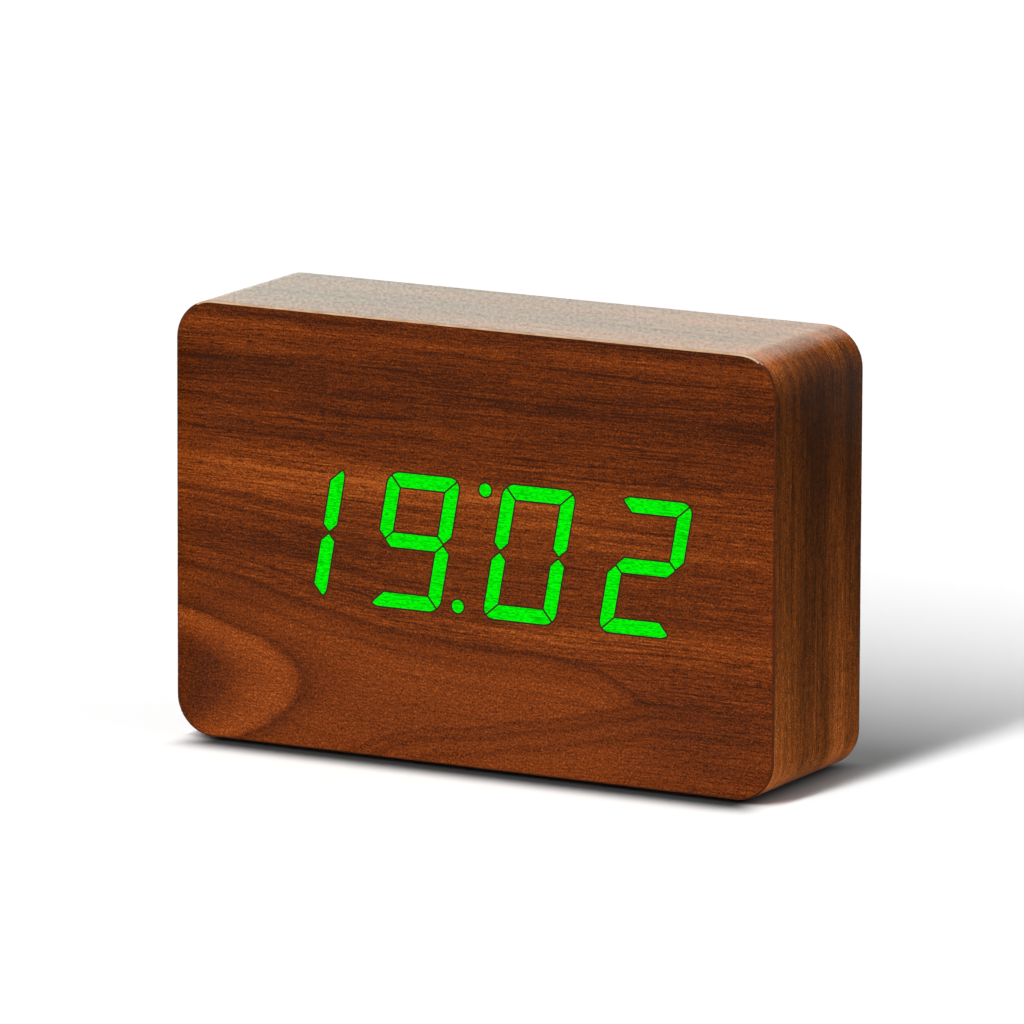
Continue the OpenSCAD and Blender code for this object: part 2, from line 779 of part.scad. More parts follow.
// The door turns on a pin at each lower corner and is held by a tongue with a leg behind its top edge
module battery_door() {
    top = door_h - door_t / 2;
    leg_top = top - door_ledge + door_clear - latch_leg_gap;
    color([0.15, 0.15, 0.16]) translate([bay_at[0], hinge_y, hinge_z]) {
        difference() {
            union() {
                translate([-door_w / 2, -door_t / 2, 0]) cube([door_w, door_t, top]);
                rotate([0, 90, 0]) translate([0, 0, -door_w / 2]) cylinder(h = door_w, d = door_t);
                door_grip(top);
            }
            for (x = [-1, 1]) translate([x * latch_w / 2 - latch_slit / 2, -door_t, top - latch_len])
                cube([latch_slit, 2 * door_t, latch_len + 1]);
        }
        for (x = [-1, 1]) translate([x * (door_w + hinge_pin_len) / 2, 0, 0]) rotate([0, 90, 0])
            cylinder(h = hinge_pin_len, d = hinge_pin_d, center = true);
        translate([-latch_w / 2 + latch_slit, -door_t / 2 - latch_leg_h, leg_top - latch_leg_t])
            cube([latch_w - 2 * latch_slit, latch_leg_h, latch_leg_t]);
    }
}

// Ridges for a finger on the door's tongue
module door_grip(top) {
    ridges = 4;
    ridge_pitch = 1.8;
    for (i = [0:ridges - 1])
        translate([-latch_w / 2 + 2, door_t / 2, top - 1.4 - grip_ridge - i * ridge_pitch])
            cube([latch_w - 4, grip_h, grip_ridge]);
}

function row_z(row) = (row - (CELLS - 1) / 2) * cell_pitch;
// 1 where a cell's nub points to +X
function row_way(row) = row % 2 == 0 ? 1 : -1;

// Children at one cell's row, with X along the cell towards its nub
module at_row(row) {
    translate([bay_at[0], cell_y, mid_z + bay_at[1] + row_z(row)])
        mirror([row_way(row) > 0 ? 0 : 1, 0, 0]) children();
}

module aaa_cells() {
    shoulder = 0.4;
    nub_x = bay_w / 2 - contact_t;
    can_len = cell_len - nub_h - shoulder;
    color("slategray") for (row = [0:CELLS - 1])
        at_row(row) translate([nub_x - cell_len, 0, 0]) rotate([0, 90, 0]) {
            cylinder(h = can_len, d = cell_d);
            translate([0, 0, can_len]) cylinder(h = shoulder, d1 = cell_d, d2 = cell_d - 2 * shoulder);
            cylinder(h = cell_len, d = nub_d);
        }
}

// A conical spring, wound as one tube from its plate to the cell
ring_steps = 8;
wire_sides = 6;
spring_tip_d = spring_coil_d * 0.62;
spring_rise = spring_len - spring_wire;
function spring_turn(u) =
    let (a = spring_turns * 360 * u, r = (spring_coil_d + (spring_tip_d - spring_coil_d) * u) / 2)
    [spring_wire / 2 + spring_rise * u, r * cos(a), r * sin(a)];
spring_rings = spring_turns * ring_steps;
spring_path = [for (i = [0:spring_rings]) spring_turn(i / spring_rings)];

// The least gap between the wire and the next turn, measured on the path's points
spring_gap = min([for (i = [0:spring_rings - ring_steps])
    norm(spring_path[i + ring_steps] - spring_path[i])]) - spring_wire;
echo(battery_spring_least_gap = spring_gap);

module conical_spring() {
    ring = [for (i = [0:spring_rings]) let (
            p = spring_path[i],
            a = spring_turns * 360 * i / spring_rings,
            out = [0, cos(a), sin(a)])
        for (s = [0:wire_sides - 1]) let (b = 360 * s / wire_sides)
            p + spring_wire / 2 * (cos(b) * out + sin(b) * [1, 0, 0])];
    last = spring_rings * wire_sides;
    sides = [for (i = [0:spring_rings - 1], s = [0:wire_sides - 1]) let (
            a = i * wire_sides + s, b = i * wire_sides + (s + 1) % wire_sides)
        each [[a, b, b + wire_sides], [a, b + wire_sides, a + wire_sides]]];
    start_cap = [for (s = [1:wire_sides - 2]) [0, s + 1, s]];
    end_cap = [for (s = [1:wire_sides - 2]) [last, last + s, last + s + 1]];
    polyhedron(ring, concat(sides, start_cap, end_cap));
}

module battery_springs() {
    color("silver") for (row = [0:CELLS - 1]) at_row(row)
        translate([-bay_w / 2 + contact_t, 0, 0]) conical_spring();
}

contact_w = 8;
tag_w = 2.4;
tag_reach = 1.6;
contact_fit = 0.1;

// Plates on the bay's end walls: pairs that link two cells, and a single one with a solder tag at each outlet
module contact_plates() {
    color("gainsboro") {
        for (row = [0, CELLS - 2]) contact_plate(-1, row_z(row), row_z(row + 1));
        contact_plate(1, row_z(1), row_z(2));
        for (row = [0, CELLS - 1]) {
            contact_plate(1, row_z(row), row_z(row));
            contact_tag(row);
        }
    }
}

module contact_plate(side, from_z, to_z) {
    x = side * (bay_w - contact_t) / 2;
    translate([bay_at[0] + x, cell_y, mid_z + bay_at[1] + (from_z + to_z) / 2])
        cube([contact_t, contact_w, contact_w + abs(to_z - from_z)], center = true);
}

module contact_tag(row) {
    translate([bay_at[0] + bay_w / 2 - contact_t, cell_y - contact_t / 2,
               mid_z + bay_at[1] + row_z(row) - tag_w / 2])
        cube([contact_t + panel_wall + tag_reach, contact_t, tag_w]);
}

module contact_slot(row) {
    translate([bay_at[0] + bay_w / 2 - 1, cell_y - contact_t / 2 - contact_fit,
               mid_z + bay_at[1] + row_z(row) - tag_w / 2 - contact_fit])
        cube([panel_wall + 2, contact_t + 2 * contact_fit, tag_w + 2 * contact_fit]);
}

// The leads run from the tags over the board's edge and down to its back face
module battery_leads() {
    tag_end = bay_at[0] + bay_w / 2 + panel_wall + tag_reach;
    bend = cell_y - control_back_y;
    color("firebrick") for (row = [0, CELLS - 1])
        on_back([tag_end, bay_at[1] + row_z(row)], cell_y)
            bent_wire(control_at[0] - control_size[0] / 2 - tag_end + 2.2, bend);
}

// Control board and controls

module control_board() {
    color("darkgreen") difference() {
        translate([control_at[0], 0, control_at[1]]) slab(control_front_y, pcb_t)
            rounded_rect(control_size[0], control_size[1], control_corner_r);
        for (at = control_screw_at) on_back(at, control_front_y - 1)
            cylinder(h = pcb_t + 2, d = board_screw[2] + 2 * screw_hole_fit);
    }
}

module board_screws() {
    color("silver") for (at = control_screw_at)
        on_back(at, control_front_y) mirror([0, 0, 1]) pan_screw(board_screw);
}

chip_from = [10.5, 6];
clock_chip_size = [12.8, 7.5, 2.3];
clock_chip_legs = 10;
crystal_from = [-7.5, 4];
capacitor_at = [for (from = [[-15.5, 12], [-8.5, 12]]) control_at + from];

module clock_chip() {
    color([0.12, 0.12, 0.13]) on_back(control_at + chip_from, control_front_y) mirror([0, 0, 1])
        chip(clock_chip_size, clock_chip_legs);
}

// A watch crystal in its can, lying on the board
module timing_crystal() {
    can_d = 2;
    can_len = 6;
    color("silver") on_back(control_at + crystal_from, control_front_y - can_d / 2) rotate([0, 90, 0]) {
        cylinder(h = can_len, d = can_d, center = true);
        for (side = [-1, 1]) translate([0, side * 0.4, can_len / 2]) cylinder(h = 2, d = 0.3);
    }
}

module capacitors() {
    can_d = 5;
    can_h = 5.4;
    groove = 0.25;
    color("steelblue") for (at = capacitor_at) on_back(at, control_front_y) mirror([0, 0, 1]) {
        cylinder(h = 1, d = can_d);
        translate([0, 0, 1]) cylinder(h = 0.5, d = can_d - 2 * groove);
        translate([0, 0, 1.5]) cylinder(h = can_h - 1.5, d = can_d);
    }
}

// Children at one of the three buttons, at the panel's inner face
module button_place(place) {
    on_back(buttons_at + [place * button_pitch, 0], panel_in_y) children();
}

// A switch body holds its plunger in a bore that is deeper than the travel
module tact_switches() {
    cover_t = 0.3;
    cover_w = tact_w - 0.6;
    color("silver") for (place = [-1, 0, 1]) button_place(place) translate([0, 0, -boss_len]) difference() {
        union() {
            translate([-tact_w / 2, -tact_w / 2, 0]) cube([tact_w, tact_w, tact_h - cover_t]);
            translate([-cover_w / 2, -cover_w / 2, tact_h - cover_t]) cube([cover_w, cover_w, cover_t]);
        }
        translate([0, 0, tact_h - plunger_seat - 2 * button_travel])
            cylinder(h = tact_h, d = plunger_d + 2 * plunger_fit);
    }
}

module plunger(place) {
    color([0.1, 0.1, 0.1]) button_place(place)
        translate([0, 0, tact_h - plunger_seat - boss_len])
            cylinder(h = plunger_seat + plunger_proud, d = plunger_d);
}

module set_plunger() { plunger(1); }
module up_plunger() { plunger(0); }
module down_plunger() { plunger(-1); }

// A cap with a flange behind the panel and a stem on the switch's plunger
module button(place) {
    cap_ease = 0.5;
    cap_h = panel_t + button_flange_gap + button_proud;
    stem_h = panel_in_y - button_flange_gap - button_flange_t - plunger_y;
    color([0.2, 0.2, 0.21]) button_place(place) translate([0, 0, -button_flange_gap]) {
        cylinder(h = cap_h - cap_ease, d = button_d);
        translate([0, 0, cap_h - cap_ease])
            cylinder(h = cap_ease, d1 = button_d, d2 = button_d - 2 * cap_ease);
        translate([0, 0, -button_flange_t]) cylinder(h = button_flange_t, d = button_flange_d);
        translate([0, 0, -button_flange_t - stem_h]) cylinder(h = stem_h, d = stem_d);
    }
}

module set_button() { button(1); }
module up_button() { button(0); }
module down_button() { button(-1); }

// Children at the alarm slider, at the end of its travel where it rests
module slider_place(y) {
    on_back(slider_at - [slider_travel / 2, 0], y) children();
}

module alarm_switch() {
    slot_w = lever_w + slider_travel + 2 * plunger_fit;
    color("silver") on_back(slider_at, control_back_y) difference() {
        translate([-switch_size[0] / 2, -switch_size[1] / 2, 0]) cube(switch_size);
        translate([-slot_w / 2, -lever_w / 2 - plunger_fit, switch_size[2] - lever_seat - plunger_fit])
            cube([slot_w, lever_w + 2 * plunger_fit, switch_size[2]]);
    }
}

module switch_lever() {
    bottom_y = control_back_y + switch_size[2] - lever_seat;
    color([0.1, 0.1, 0.1]) slider_place(bottom_y)
        translate([-lever_w / 2, -lever_w / 2, 0])
            cube([lever_w, lever_w, panel_out_y - slider_size[2] - bottom_y]);
}

// A flat cap that slides in its recess, with three ridges for a fingernail
module alarm_slider() {
    ridges = 3;
    ridge_pitch = 1.6;
    ridge_w = 0.8;
    ridge_side = 0.5;
    color([0.2, 0.2, 0.21]) slider_place(panel_out_y - slider_size[2]) {
        translate([-slider_size[0] / 2, -slider_size[1] / 2, 0]) cube(slider_size);
        for (i = [0:ridges - 1])
            translate([(i - (ridges - 1) / 2) * ridge_pitch - ridge_w / 2, ridge_side - slider_size[1] / 2,
                       slider_size[2]])
                cube([ridge_w, slider_size[1] - 2 * ridge_side, slider_grip_h]);
    }
}

// A round sounder with its mouth towards the grille
module buzzer() {
    height = boss_len - buzzer_gap;
    mouth_d = 2;
    color([0.1, 0.1, 0.1]) on_back(grille_at, control_back_y) difference() {
        union() {
            cylinder(h = height - 0.5, d = buzzer_d);
            translate([0, 0, height - 0.5]) cylinder(h = 0.5, d1 = buzzer_d, d2 = buzzer_d - 1);
        }
        translate([0, 0, height - 2]) cylinder(h = 3, d = mouth_d);
    }
}

// A capsule on two legs behind its hole
module microphone() {
    leg_h = boss_len - buzzer_gap - mic_len;
    color("silver") on_back(mic_at, control_back_y) {
        translate([0, 0, leg_h]) cylinder(h = mic_len, d = mic_d);
        for (side = [-1, 1]) translate([side * 1.2, 0, 0]) cylinder(h = leg_h, d = 0.5, $fn = 16);
    }
}

// Power socket

module dc_jack() {
    flange_ease = 0.3;
    color([0.1, 0.1, 0.1]) on_back(jack_at, panel_out_y) difference() {
        union() {
            cylinder(h = jack_flange_t - flange_ease, d = jack_flange_d);
            translate([0, 0, jack_flange_t - flange_ease])
                cylinder(h = flange_ease, d1 = jack_flange_d, d2 = jack_flange_d - 2 * flange_ease);
            translate([0, 0, -jack_len]) cylinder(h = jack_len, d = jack_d);
        }
        translate([0, 0, jack_flange_t - jack_depth]) cylinder(h = jack_depth + 1, d = jack_bore_d);
    }
}

module jack_pin() {
    color("gold") on_back(jack_at, panel_out_y + jack_flange_t - jack_depth)
        cylinder(h = jack_depth - jack_pin_short, d = jack_pin_d);
}

module jack_nut() {
    color("silver") on_back(jack_at, panel_in_y - jack_nut_t) difference() {
        cylinder(h = jack_nut_t, r = jack_nut_r, $fn = 6);
        translate([0, 0, -1]) cylinder(h = jack_nut_t + 2, d = jack_d + 2 * jack_fit);
    }
}

// Two tags on the socket's tail, each with a lead up to the control board's front face
module jack_leads() {
    tag = [1.8, 0.4, 2.6];
    lead_y = jack_tail_y - tag[2] / 2;
    bend = control_front_y - lead_y;
    board_edge = control_at[1] - control_size[1] / 2;
    lead_overlap = 2;
    for (side = [-1, 1]) {
        x = jack_at[0] + side * jack_tag_gap / 2;
        color("gold") translate([x - tag[0] / 2, jack_tail_y - tag[2], mid_z + jack_at[1] - tag[1] / 2])
            cube([tag[0], tag[2], tag[1]]);
        color("firebrick") translate([x, lead_y, mid_z + jack_at[1] + tag[1] / 2])
            rotate([0, -90, 90]) bent_wire(board_edge - jack_at[1] + lead_overlap, bend);
    }
}

left_side();
right_side();
top_board();
bottom_board();
corner_blocks();
front_board();
wrap_veneer();
front_veneer();
lit_segments();
back_veneer();
rubber_feet();
segment_mask();
segment_lenses();
display_board();
segment_leds();
driver_chips();
display_screws();
ribbon_sockets();
ribbon_cable();
rear_panel();
panel_screws();
battery_door();
aaa_cells();
battery_springs();
contact_plates();
battery_leads();
control_board();
board_screws();
clock_chip();
timing_crystal();
capacitors();
tact_switches();
set_plunger();
up_plunger();
down_plunger();
set_button();
up_button();
down_button();
alarm_switch();
switch_lever();
alarm_slider();
buzzer();
microphone();
dc_jack();
jack_pin();
jack_nut();
jack_leads();
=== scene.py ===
"""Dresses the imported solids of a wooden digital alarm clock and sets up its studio."""

import logging
import math
from dataclasses import dataclass, field
from enum import Enum, IntEnum
from typing import Sequence

import bmesh
import bpy
from mathutils import Matrix, Vector
from mathutils.geometry import delaunay_2d_cdt


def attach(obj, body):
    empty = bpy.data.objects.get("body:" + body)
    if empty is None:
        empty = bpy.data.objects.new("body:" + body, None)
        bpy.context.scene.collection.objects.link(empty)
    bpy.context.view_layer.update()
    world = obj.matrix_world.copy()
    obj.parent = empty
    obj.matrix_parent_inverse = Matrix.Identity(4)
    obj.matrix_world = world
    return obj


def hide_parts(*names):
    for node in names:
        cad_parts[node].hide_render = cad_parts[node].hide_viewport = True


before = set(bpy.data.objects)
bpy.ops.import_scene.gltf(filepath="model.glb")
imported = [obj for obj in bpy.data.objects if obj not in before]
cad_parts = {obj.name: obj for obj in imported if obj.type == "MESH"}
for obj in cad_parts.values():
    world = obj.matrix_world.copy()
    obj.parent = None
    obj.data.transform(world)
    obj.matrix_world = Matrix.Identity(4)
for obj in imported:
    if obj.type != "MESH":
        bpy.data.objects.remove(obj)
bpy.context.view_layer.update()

MM = 0.001
# Vertices nearer than this are one
WELD_MM = 0.001
LOG = logging.getLogger("clock")

Pair = tuple[float, float]
Triple = tuple[float, float, float]
Point = Pair
Place = Triple
Loop = list[Point]
Colour = tuple[float, float, float, float]
Tree = bpy.types.NodeTree
Node = bpy.types.Node
Socket = bpy.types.NodeSocket
Shape = bmesh.types.BMesh
Ring = list[bmesh.types.BMVert]


def linear(code: str) -> Colour:
    """Turn an sRGB hex colour into a linear one.

    Args:
        code: Six hex digits, with or without a leading hash.

    Returns:
        Red, green, blue and full alpha, each from 0 to 1.
    """
    shades = [int(code.lstrip("#")[i:i + 2], 16) / 255 for i in (0, 2, 4)]
    red, green, blue = (s / 12.92 if s <= 0.04045 else ((s + 0.055) / 1.055) ** 2.4 for s in shades)
    return red, green, blue, 1.0


def plug(tree: Tree, node: Node, inputs: dict[str | int, object]) -> None:
    """Set or link the inputs of a node.

    Args:
        tree: Tree that holds the node.
        node: Node whose inputs are set.
        inputs: Value, source node or source socket for each input, by name or by place among the live inputs.
    """
    live = [socket for socket in node.inputs if socket.enabled]
    for key, value in inputs.items():
        socket = live[key] if isinstance(key, int) else next(s for s in live if s.name == key)
        if isinstance(value, Node):
            value = next(s for s in value.outputs if s.enabled)
        if isinstance(value, Socket):
            tree.links.new(value, socket)
        else:
            socket.default_value = value


def add(tree: Tree, kind: str, inputs: dict[str | int, object] | None = None, **settings: object) -> Node:
    """Add one node to a tree, with its settings and links.

    Args:
        tree: Tree that gets the node.
        kind: Blender's name for the type of node.
        inputs: What each input is set or linked to, as for plug.
        settings: The node's own properties. "stops" holds a ramp's places and colours, "spread" how it blends them.

    Returns:
        The new node.
    """
    node = tree.nodes.new(kind)
    for key, value in settings.items():
        if key == "stops":
            elements = node.color_ramp.elements
            while len(elements) < len(value):
                elements.new(0.5)
            for element, (place, colour) in zip(elements, value):
                element.position = place
                element.color = linear(colour) if isinstance(colour, str) else (colour, colour, colour, 1.0)
        elif key == "spread":
            node.color_ramp.interpolation = value
        else:
            setattr(node, key, value)
    plug(tree, node, inputs or {})
    return node


class Finish:
    """A named surface, made once as a Blender material."""

    name: str

    def paint(self, tree: Tree, shader: Node) -> None:
        """Add this finish's nodes to the tree, and plug them into its shader."""
        raise NotImplementedError

    def material(self) -> bpy.types.Material:
        """Give the finish's material, made at the first call.

        Returns:
            The material.
        """
        found = bpy.data.materials.get(self.name)
        if found is not None:
            return found
        made = bpy.data.materials.new(self.name)
        made.use_nodes = True
        self.paint(made.node_tree, made.node_tree.nodes["Principled BSDF"])
        return made


@dataclass(frozen=True)
class Mottled(Finish):
    """A finish whose colour, gloss and relief follow one fine grain, in Object coordinates."""

    name: str
    dark: str
    pale: str
    grain_mm: Triple
    roughness: Pair
    relief_mm: float = 0.0
    metallic: float = 0.0
    specular: float = 0.5
    coat: float = 0.0

    # Octaves and weight of the finer noise in the grain, and the levels between which it goes from dark to pale
    DETAIL, FINER = 3.0, 0.6
    LEVELS = (0.3, 0.7)

    def paint(self, tree: Tree, shader: Node) -> None:
        """Drive colour, roughness and bump from one noise of the grain's size.

        Args:
            tree: The material's tree.
            shader: Its Principled shader.
        """
        place = add(tree, "ShaderNodeTexCoord").outputs["Object"]
        grid = add(tree, "ShaderNodeMapping", {"Vector": place, "Scale": [1 / (g * MM) for g in self.grain_mm]})
        grain = add(tree, "ShaderNodeTexNoise", {"Vector": grid, "Scale": 1.0, "Detail": self.DETAIL,
                                                 "Roughness": self.FINER})
        least, most = self.LEVELS
        level = add(tree, "ShaderNodeMapRange", {"Value": grain, "From Min": least, "From Max": most})
        colour = add(tree, "ShaderNodeMix", {"Factor": level, "A": linear(self.dark), "B": linear(self.pale)},
                     data_type="RGBA")
        low, high = self.roughness
        rough = add(tree, "ShaderNodeMapRange", {"Value": level, "To Min": low, "To Max": high})
        plug(tree, shader, {"Base Color": colour, "Roughness": rough, "Metallic": self.metallic,
                            "Specular IOR Level": self.specular, "Coat Weight": self.coat})
        if self.relief_mm:
            bump = add(tree, "ShaderNodeBump", {"Height": level, "Distance": self.relief_mm * MM, "Strength": 1.0})
            plug(tree, shader, {"Normal": bump})


class Cut(Enum):
    """How a sheet of veneer was sliced and laid."""

    CROWN = "crown"
    WRAPPED = "wrapped"
    STRAIGHT = "straight"


@dataclass(frozen=True)
class Walnut(Finish):
    """Walnut veneer under satin lacquer: long fibres, dark pores and slow bands of colour."""

    name: str
    cut: Cut
    specular: float = 0.05
    coat: float = 0.0
    relief_mm: float = 0.02

    # Near-black growth lines to pale bands, as the lacquer deepens them: redder on the front, more golden on the wrap
    RED = ((0.0, "#341608"), (0.22, "#4D2009"), (0.5, "#692E0C"), (0.78, "#863E13"), (1.0, "#A6561F"))
    GOLDEN = ((0.0, "#2E1706"), (0.22, "#472207"), (0.5, "#66330B"), (0.78, "#884510"), (1.0, "#B8652E"))

    # Tone of the front's flat bands by height above the wood's lower edge, in mm
    BANDS = ((26.0, 0.46), (27.5, 0.44), (29.0, 0.5), (32.0, 0.5), (36.0, 0.46), (39.0, 0.4),
             (42.0, 0.46), (46.5, 0.36), (48.5, 0.5), (50.5, 0.42), (52.5, 0.62), (55.0, 0.54), (57.0, 0.66),
             (58.2, 0.56), (60.0, 0.78), (62.0, 0.6), (64.0, 0.58), (66.5, 0.52), (69.3, 0.38), (71.0, 0.46),
             (72.5, 0.34), (75.0, 0.44), (77.5, 0.36), (79.0, 0.44), (80.6, 0.34), (82.0, 0.18), (84.5, 0.3),
             (86.8, 0.2), (89.0, 0.42), (91.8, 0.34), (94.0, 0.62), (96.4, 0.28))
    HEIGHT_MM = 99.0

    # Length and width in mm, octaves and weight of the fibres, and least level and weight of the dark lines and
    # pores, each drawn a little coarser than the real ones so that they show
    BROAD = ((60.0, 4.0, 1.0, 0.45), (34.0, 1.3, 2.0, 0.5))
    FINE = ((9.0, 0.4, 2.0, 0.8),)
    FLECKS = ((0.5, 0.34, 1.0, 1.4), (1.6, 0.5, 1.0, 0.55))
    LINES = ((70.0, 0.7, 0.1, 0.26),)
    PORES = ((12.0, 0.36, 0.12, 0.24), (2.6, 0.3, 0.08, 0.34))
    # Width of the edge of a dark line or pore, as a level, and turn of the short flecks, in radians
    DASH_EDGE, SHORT_TILT = 0.09, 0.5

    # The lacquer: duller in the pores, following the fibres, and a thin clear coat where it lies thick
    ROUGHNESS = (0.3, 0.46)
    RELIEF_STRENGTH = 0.5
    COAT_IOR, COAT_ROUGHNESS = 1.243, 0.14

    # Length and width in mm, octaves and weight of the unevenness of the lacquer's sheen, and the sheen's mean
    SHEEN = ((60.0, 3.0, 1.0, 0.5), (0.7, 3.0, 0.0, 1.0))
    SHEEN_MEAN = 0.82

    # Tone of straight growth lines by their place across a sheet, and length, width, octaves and reach of their waver
    ACROSS = ((0.0, 0.54), (0.1, 0.56), (0.2, 0.44), (0.3, 0.35), (0.4, 0.22), (0.47, 0.25), (0.53, 0.27),
              (0.6, 0.29), (0.66, 0.38), (0.72, 0.5), (0.78, 0.47), (0.86, 0.31), (0.92, 0.32), (1.0, 0.36))
    WAVER, WAVER_MM = (70.0, 12.0, 1.0), 5.0
    HALF_DEPTH_MM = 21.0

    # Painted light and shade added to that tone by the way round the case, from the seam under the middle: paler on
    # the bottom rounding and lower part of the right side, over both top corners and along the top towards the right,
    # where light falls, and darker at the top of both sides. A ramp holds nothing below 0, so it is lifted there and
    # let down afterwards
    PAINTED_LIGHT_ROUND = ((0.0, 0.0), (0.136, 0.2), (0.147, 0.66), (0.154, 0.52), (0.162, 0.24), (0.18, 0.18), (0.33, -0.2),
             (0.342, 0.1), (0.352, 0.44), (0.364, 0.44), (0.374, 0.28), (0.4, 0.26), (0.63, 0.02), (0.65, 0.3),
             (0.67, -0.06), (0.84, 0.1), (1.0, 0.0))
    LIFT = 0.5
    GIRTH_MM = 482.5

    # Upper and lower edge of the pale lens, and the ramp's range, in mm
    LENS_UPPER = ((-75.0, 40.0), (-50.0, 35.0), (-25.0, 30.0), (-5.0, 28.0), (20.0, 27.5), (33.0, 25.0),
                  (40.0, 21.0), (45.0, 18.8), (75.0, 19.0))
    RINGS = (*LENS_UPPER[:5], (75.0, 27.0))
    LENS_LOWER = ((-75.0, -10.0), (-45.0, -4.0), (-20.0, 5.0), (5.0, 10.0), (25.0, 14.0), (40.0, 17.5),
                  (45.0, 18.8), (75.0, 19.0))
    LENS_FROM, LENS_SPAN, WIDTH_MM = -10.0, 60.0, 150.0

    # Tones inside the lens, down from its upper edge, and below it, down from its lower edge, over this many mm
    LENS_TONES = ((0.0, 0.08), (0.05, 0.36), (0.12, 0.5), (0.2, 0.55), (0.23, 0.43), (0.27, 0.57), (0.42, 0.62),
                  (0.46, 0.5), (0.5, 0.6), (0.75, 0.56), (1.0, 0.52))
    FOOT_TONES = ((0.0, 0.26), (0.05, 0.5), (0.13, 0.36), (0.18, 0.52), (0.24, 0.54), (0.32, 0.4), (0.37, 0.54),
                  (0.5, 0.58), (1.0, 0.5))
    TONES_MM = 20.0
    # Half the width of the change of tone at the lens's lower edge, and at its upper one as a share of TONES_MM
    LOWER_EDGE_MM, UPPER_EDGE = 0.8, 0.04

    # The arch: slope and height of its axis, its bend below and above that, the mm over which the bend changes,
    # where its rings begin and end along the axis, their tones, and the levels over which the arch fades
    ARCH_AXIS = (0.05, 17.2)
    ARCH_BEND, ARCH_TURN_MM = (0.09, 0.12), 2.0
    ARCH_REACH, ARCH_FADES = (-85.0, -25.0), (0.84, 1.0)
    ARCH_TONES = ((0.0, 0.48), (0.14, 0.4), (0.26, 0.28), (0.34, 0.32), (0.42, 0.52), (0.5, 0.66), (0.6, 0.74),
                  (0.67, 0.64), (0.71, 0.28), (0.76, 0.42), (0.86, 0.52), (1.0, 0.58))

    # Length, width and octaves of what makes the front's rings waver, with its reach in mm
    RING_WAVERS = (((70.0, 11.0, 1.0), 3.0), ((22.0, 3.0, 2.0), 1.4))
    # Height of the wood's lower edge above the table
    PAD_MM = 1.0
    # Heights up to which the rings lean with the lens and from which they run flat, and that of the lens's flat part
    LEAN_FADES, LENS_FLAT_MM = (35.0, 78.0), 27.5

    # A small knot, and wide patches where the wood is darker or paler: middle and reach in mm, and weight
    SPOTS = (((65.0, 30.6), (4.0, 1.0), -0.3), ((-55.0, 49.0), (40.0, 7.0), -0.08),
             ((45.0, 33.0), (60.0, 5.0), 0.2), ((-30.0, 61.0), (56.0, 6.0), 0.22),
             ((68.0, 12.0), (40.0, 18.0), -0.2), ((60.0, 61.0), (48.0, 6.0), -0.2),
             ((-64.0, 33.0), (22.0, 5.0), -0.2), ((-60.0, 53.0), (60.0, 4.0), 0.16),
             ((16.0, 48.0), (56.0, 4.0), 0.14), ((-26.0, 56.5), (40.0, 3.0), -0.16),
             ((-52.0, 45.5), (52.0, 4.5), -0.14), ((-70.0, 14.0), (26.0, 12.0), -0.08),
             ((65.0, 80.5), (50.0, 4.0), -0.2), ((-65.0, 93.5), (44.0, 4.0), 0.12))

    # How streaky the calm wood inside the lens is, and where that begins and ends to rise at the right, and to what
    CALM = 0.3
    STREAKY_RIGHT = (25.0, 60.0, 0.8)

    def paint(self, tree: Tree, shader: Node) -> None:
        """Build the figure, then fibres, pores, gloss and relief on top of it.

        Args:
            tree: The material's tree.
            shader: Its Principled shader.
        """
        along, across = self._directions(tree)
        grid = add(tree, "ShaderNodeCombineXYZ", {"X": along, "Y": across})
        if self.cut is Cut.CROWN:
            tone, busy, flow = self._crown_figure(tree, grid, along, across)
        else:
            tone, busy, flow = self._straight_figure(tree, grid, along, across), 1.0, grid
        # Broad streaks and dark lines follow the growth rings, fibres and pores run straight, flecks are everywhere
        for streaks, way, share in ((self.BROAD, flow, busy), (self.FINE, grid, busy), (self.FLECKS, grid, 1.0)):
            for length, width, detail, weight in streaks:
                fibre = self._streaks(tree, way, length, width, detail)
                fibre = add(tree, "ShaderNodeMath", {0: fibre, 1: share}, operation="MULTIPLY")
                tone = add(tree, "ShaderNodeMath", {0: fibre, 1: weight, 2: tone}, operation="MULTIPLY_ADD")
        for streaks, way, share in ((self.LINES, flow, busy), (self.PORES, grid, busy)):
            for length, width, least, weight in streaks:
                dashes = self._streaks(tree, way, length, width, 1.0)
                dark = add(tree, "ShaderNodeMapRange", {"Value": dashes, "From Min": least,
                                                        "From Max": least + self.DASH_EDGE})
                dark = add(tree, "ShaderNodeMath", {0: dark, 1: share}, operation="MULTIPLY")
                tone = add(tree, "ShaderNodeMath", {0: dark, 1: -weight, 2: tone}, operation="MULTIPLY_ADD")
        hues = self.GOLDEN if self.cut is Cut.WRAPPED else self.RED
        colour = add(tree, "ShaderNodeValToRGB", {"Fac": tone}, stops=hues)
        low, high = self.ROUGHNESS
        rough = add(tree, "ShaderNodeMapRange", {"Value": dark, "To Min": low, "To Max": high})
        relief = add(tree, "ShaderNodeBump", {"Height": tone, "Distance": self.relief_mm * MM,
                                              "Strength": self.RELIEF_STRENGTH})
        plug(tree, shader, {"Base Color": colour, "Roughness": rough, "Normal": relief, "Coat Normal": relief,
                            "Specular IOR Level": self.specular, "Coat IOR": self.COAT_IOR,
                            "Coat Roughness": self.COAT_ROUGHNESS})
        if self.coat:
            sheen = self.SHEEN_MEAN * self.coat
            for length, width, detail, weight in self.SHEEN:
                uneven = self._streaks(tree, grid, length, width, detail)
                sheen = add(tree, "ShaderNodeMath", {0: uneven, 1: weight, 2: sheen}, operation="MULTIPLY_ADD",
                            use_clamp=True)
            plug(tree, shader, {"Coat Weight": sheen})

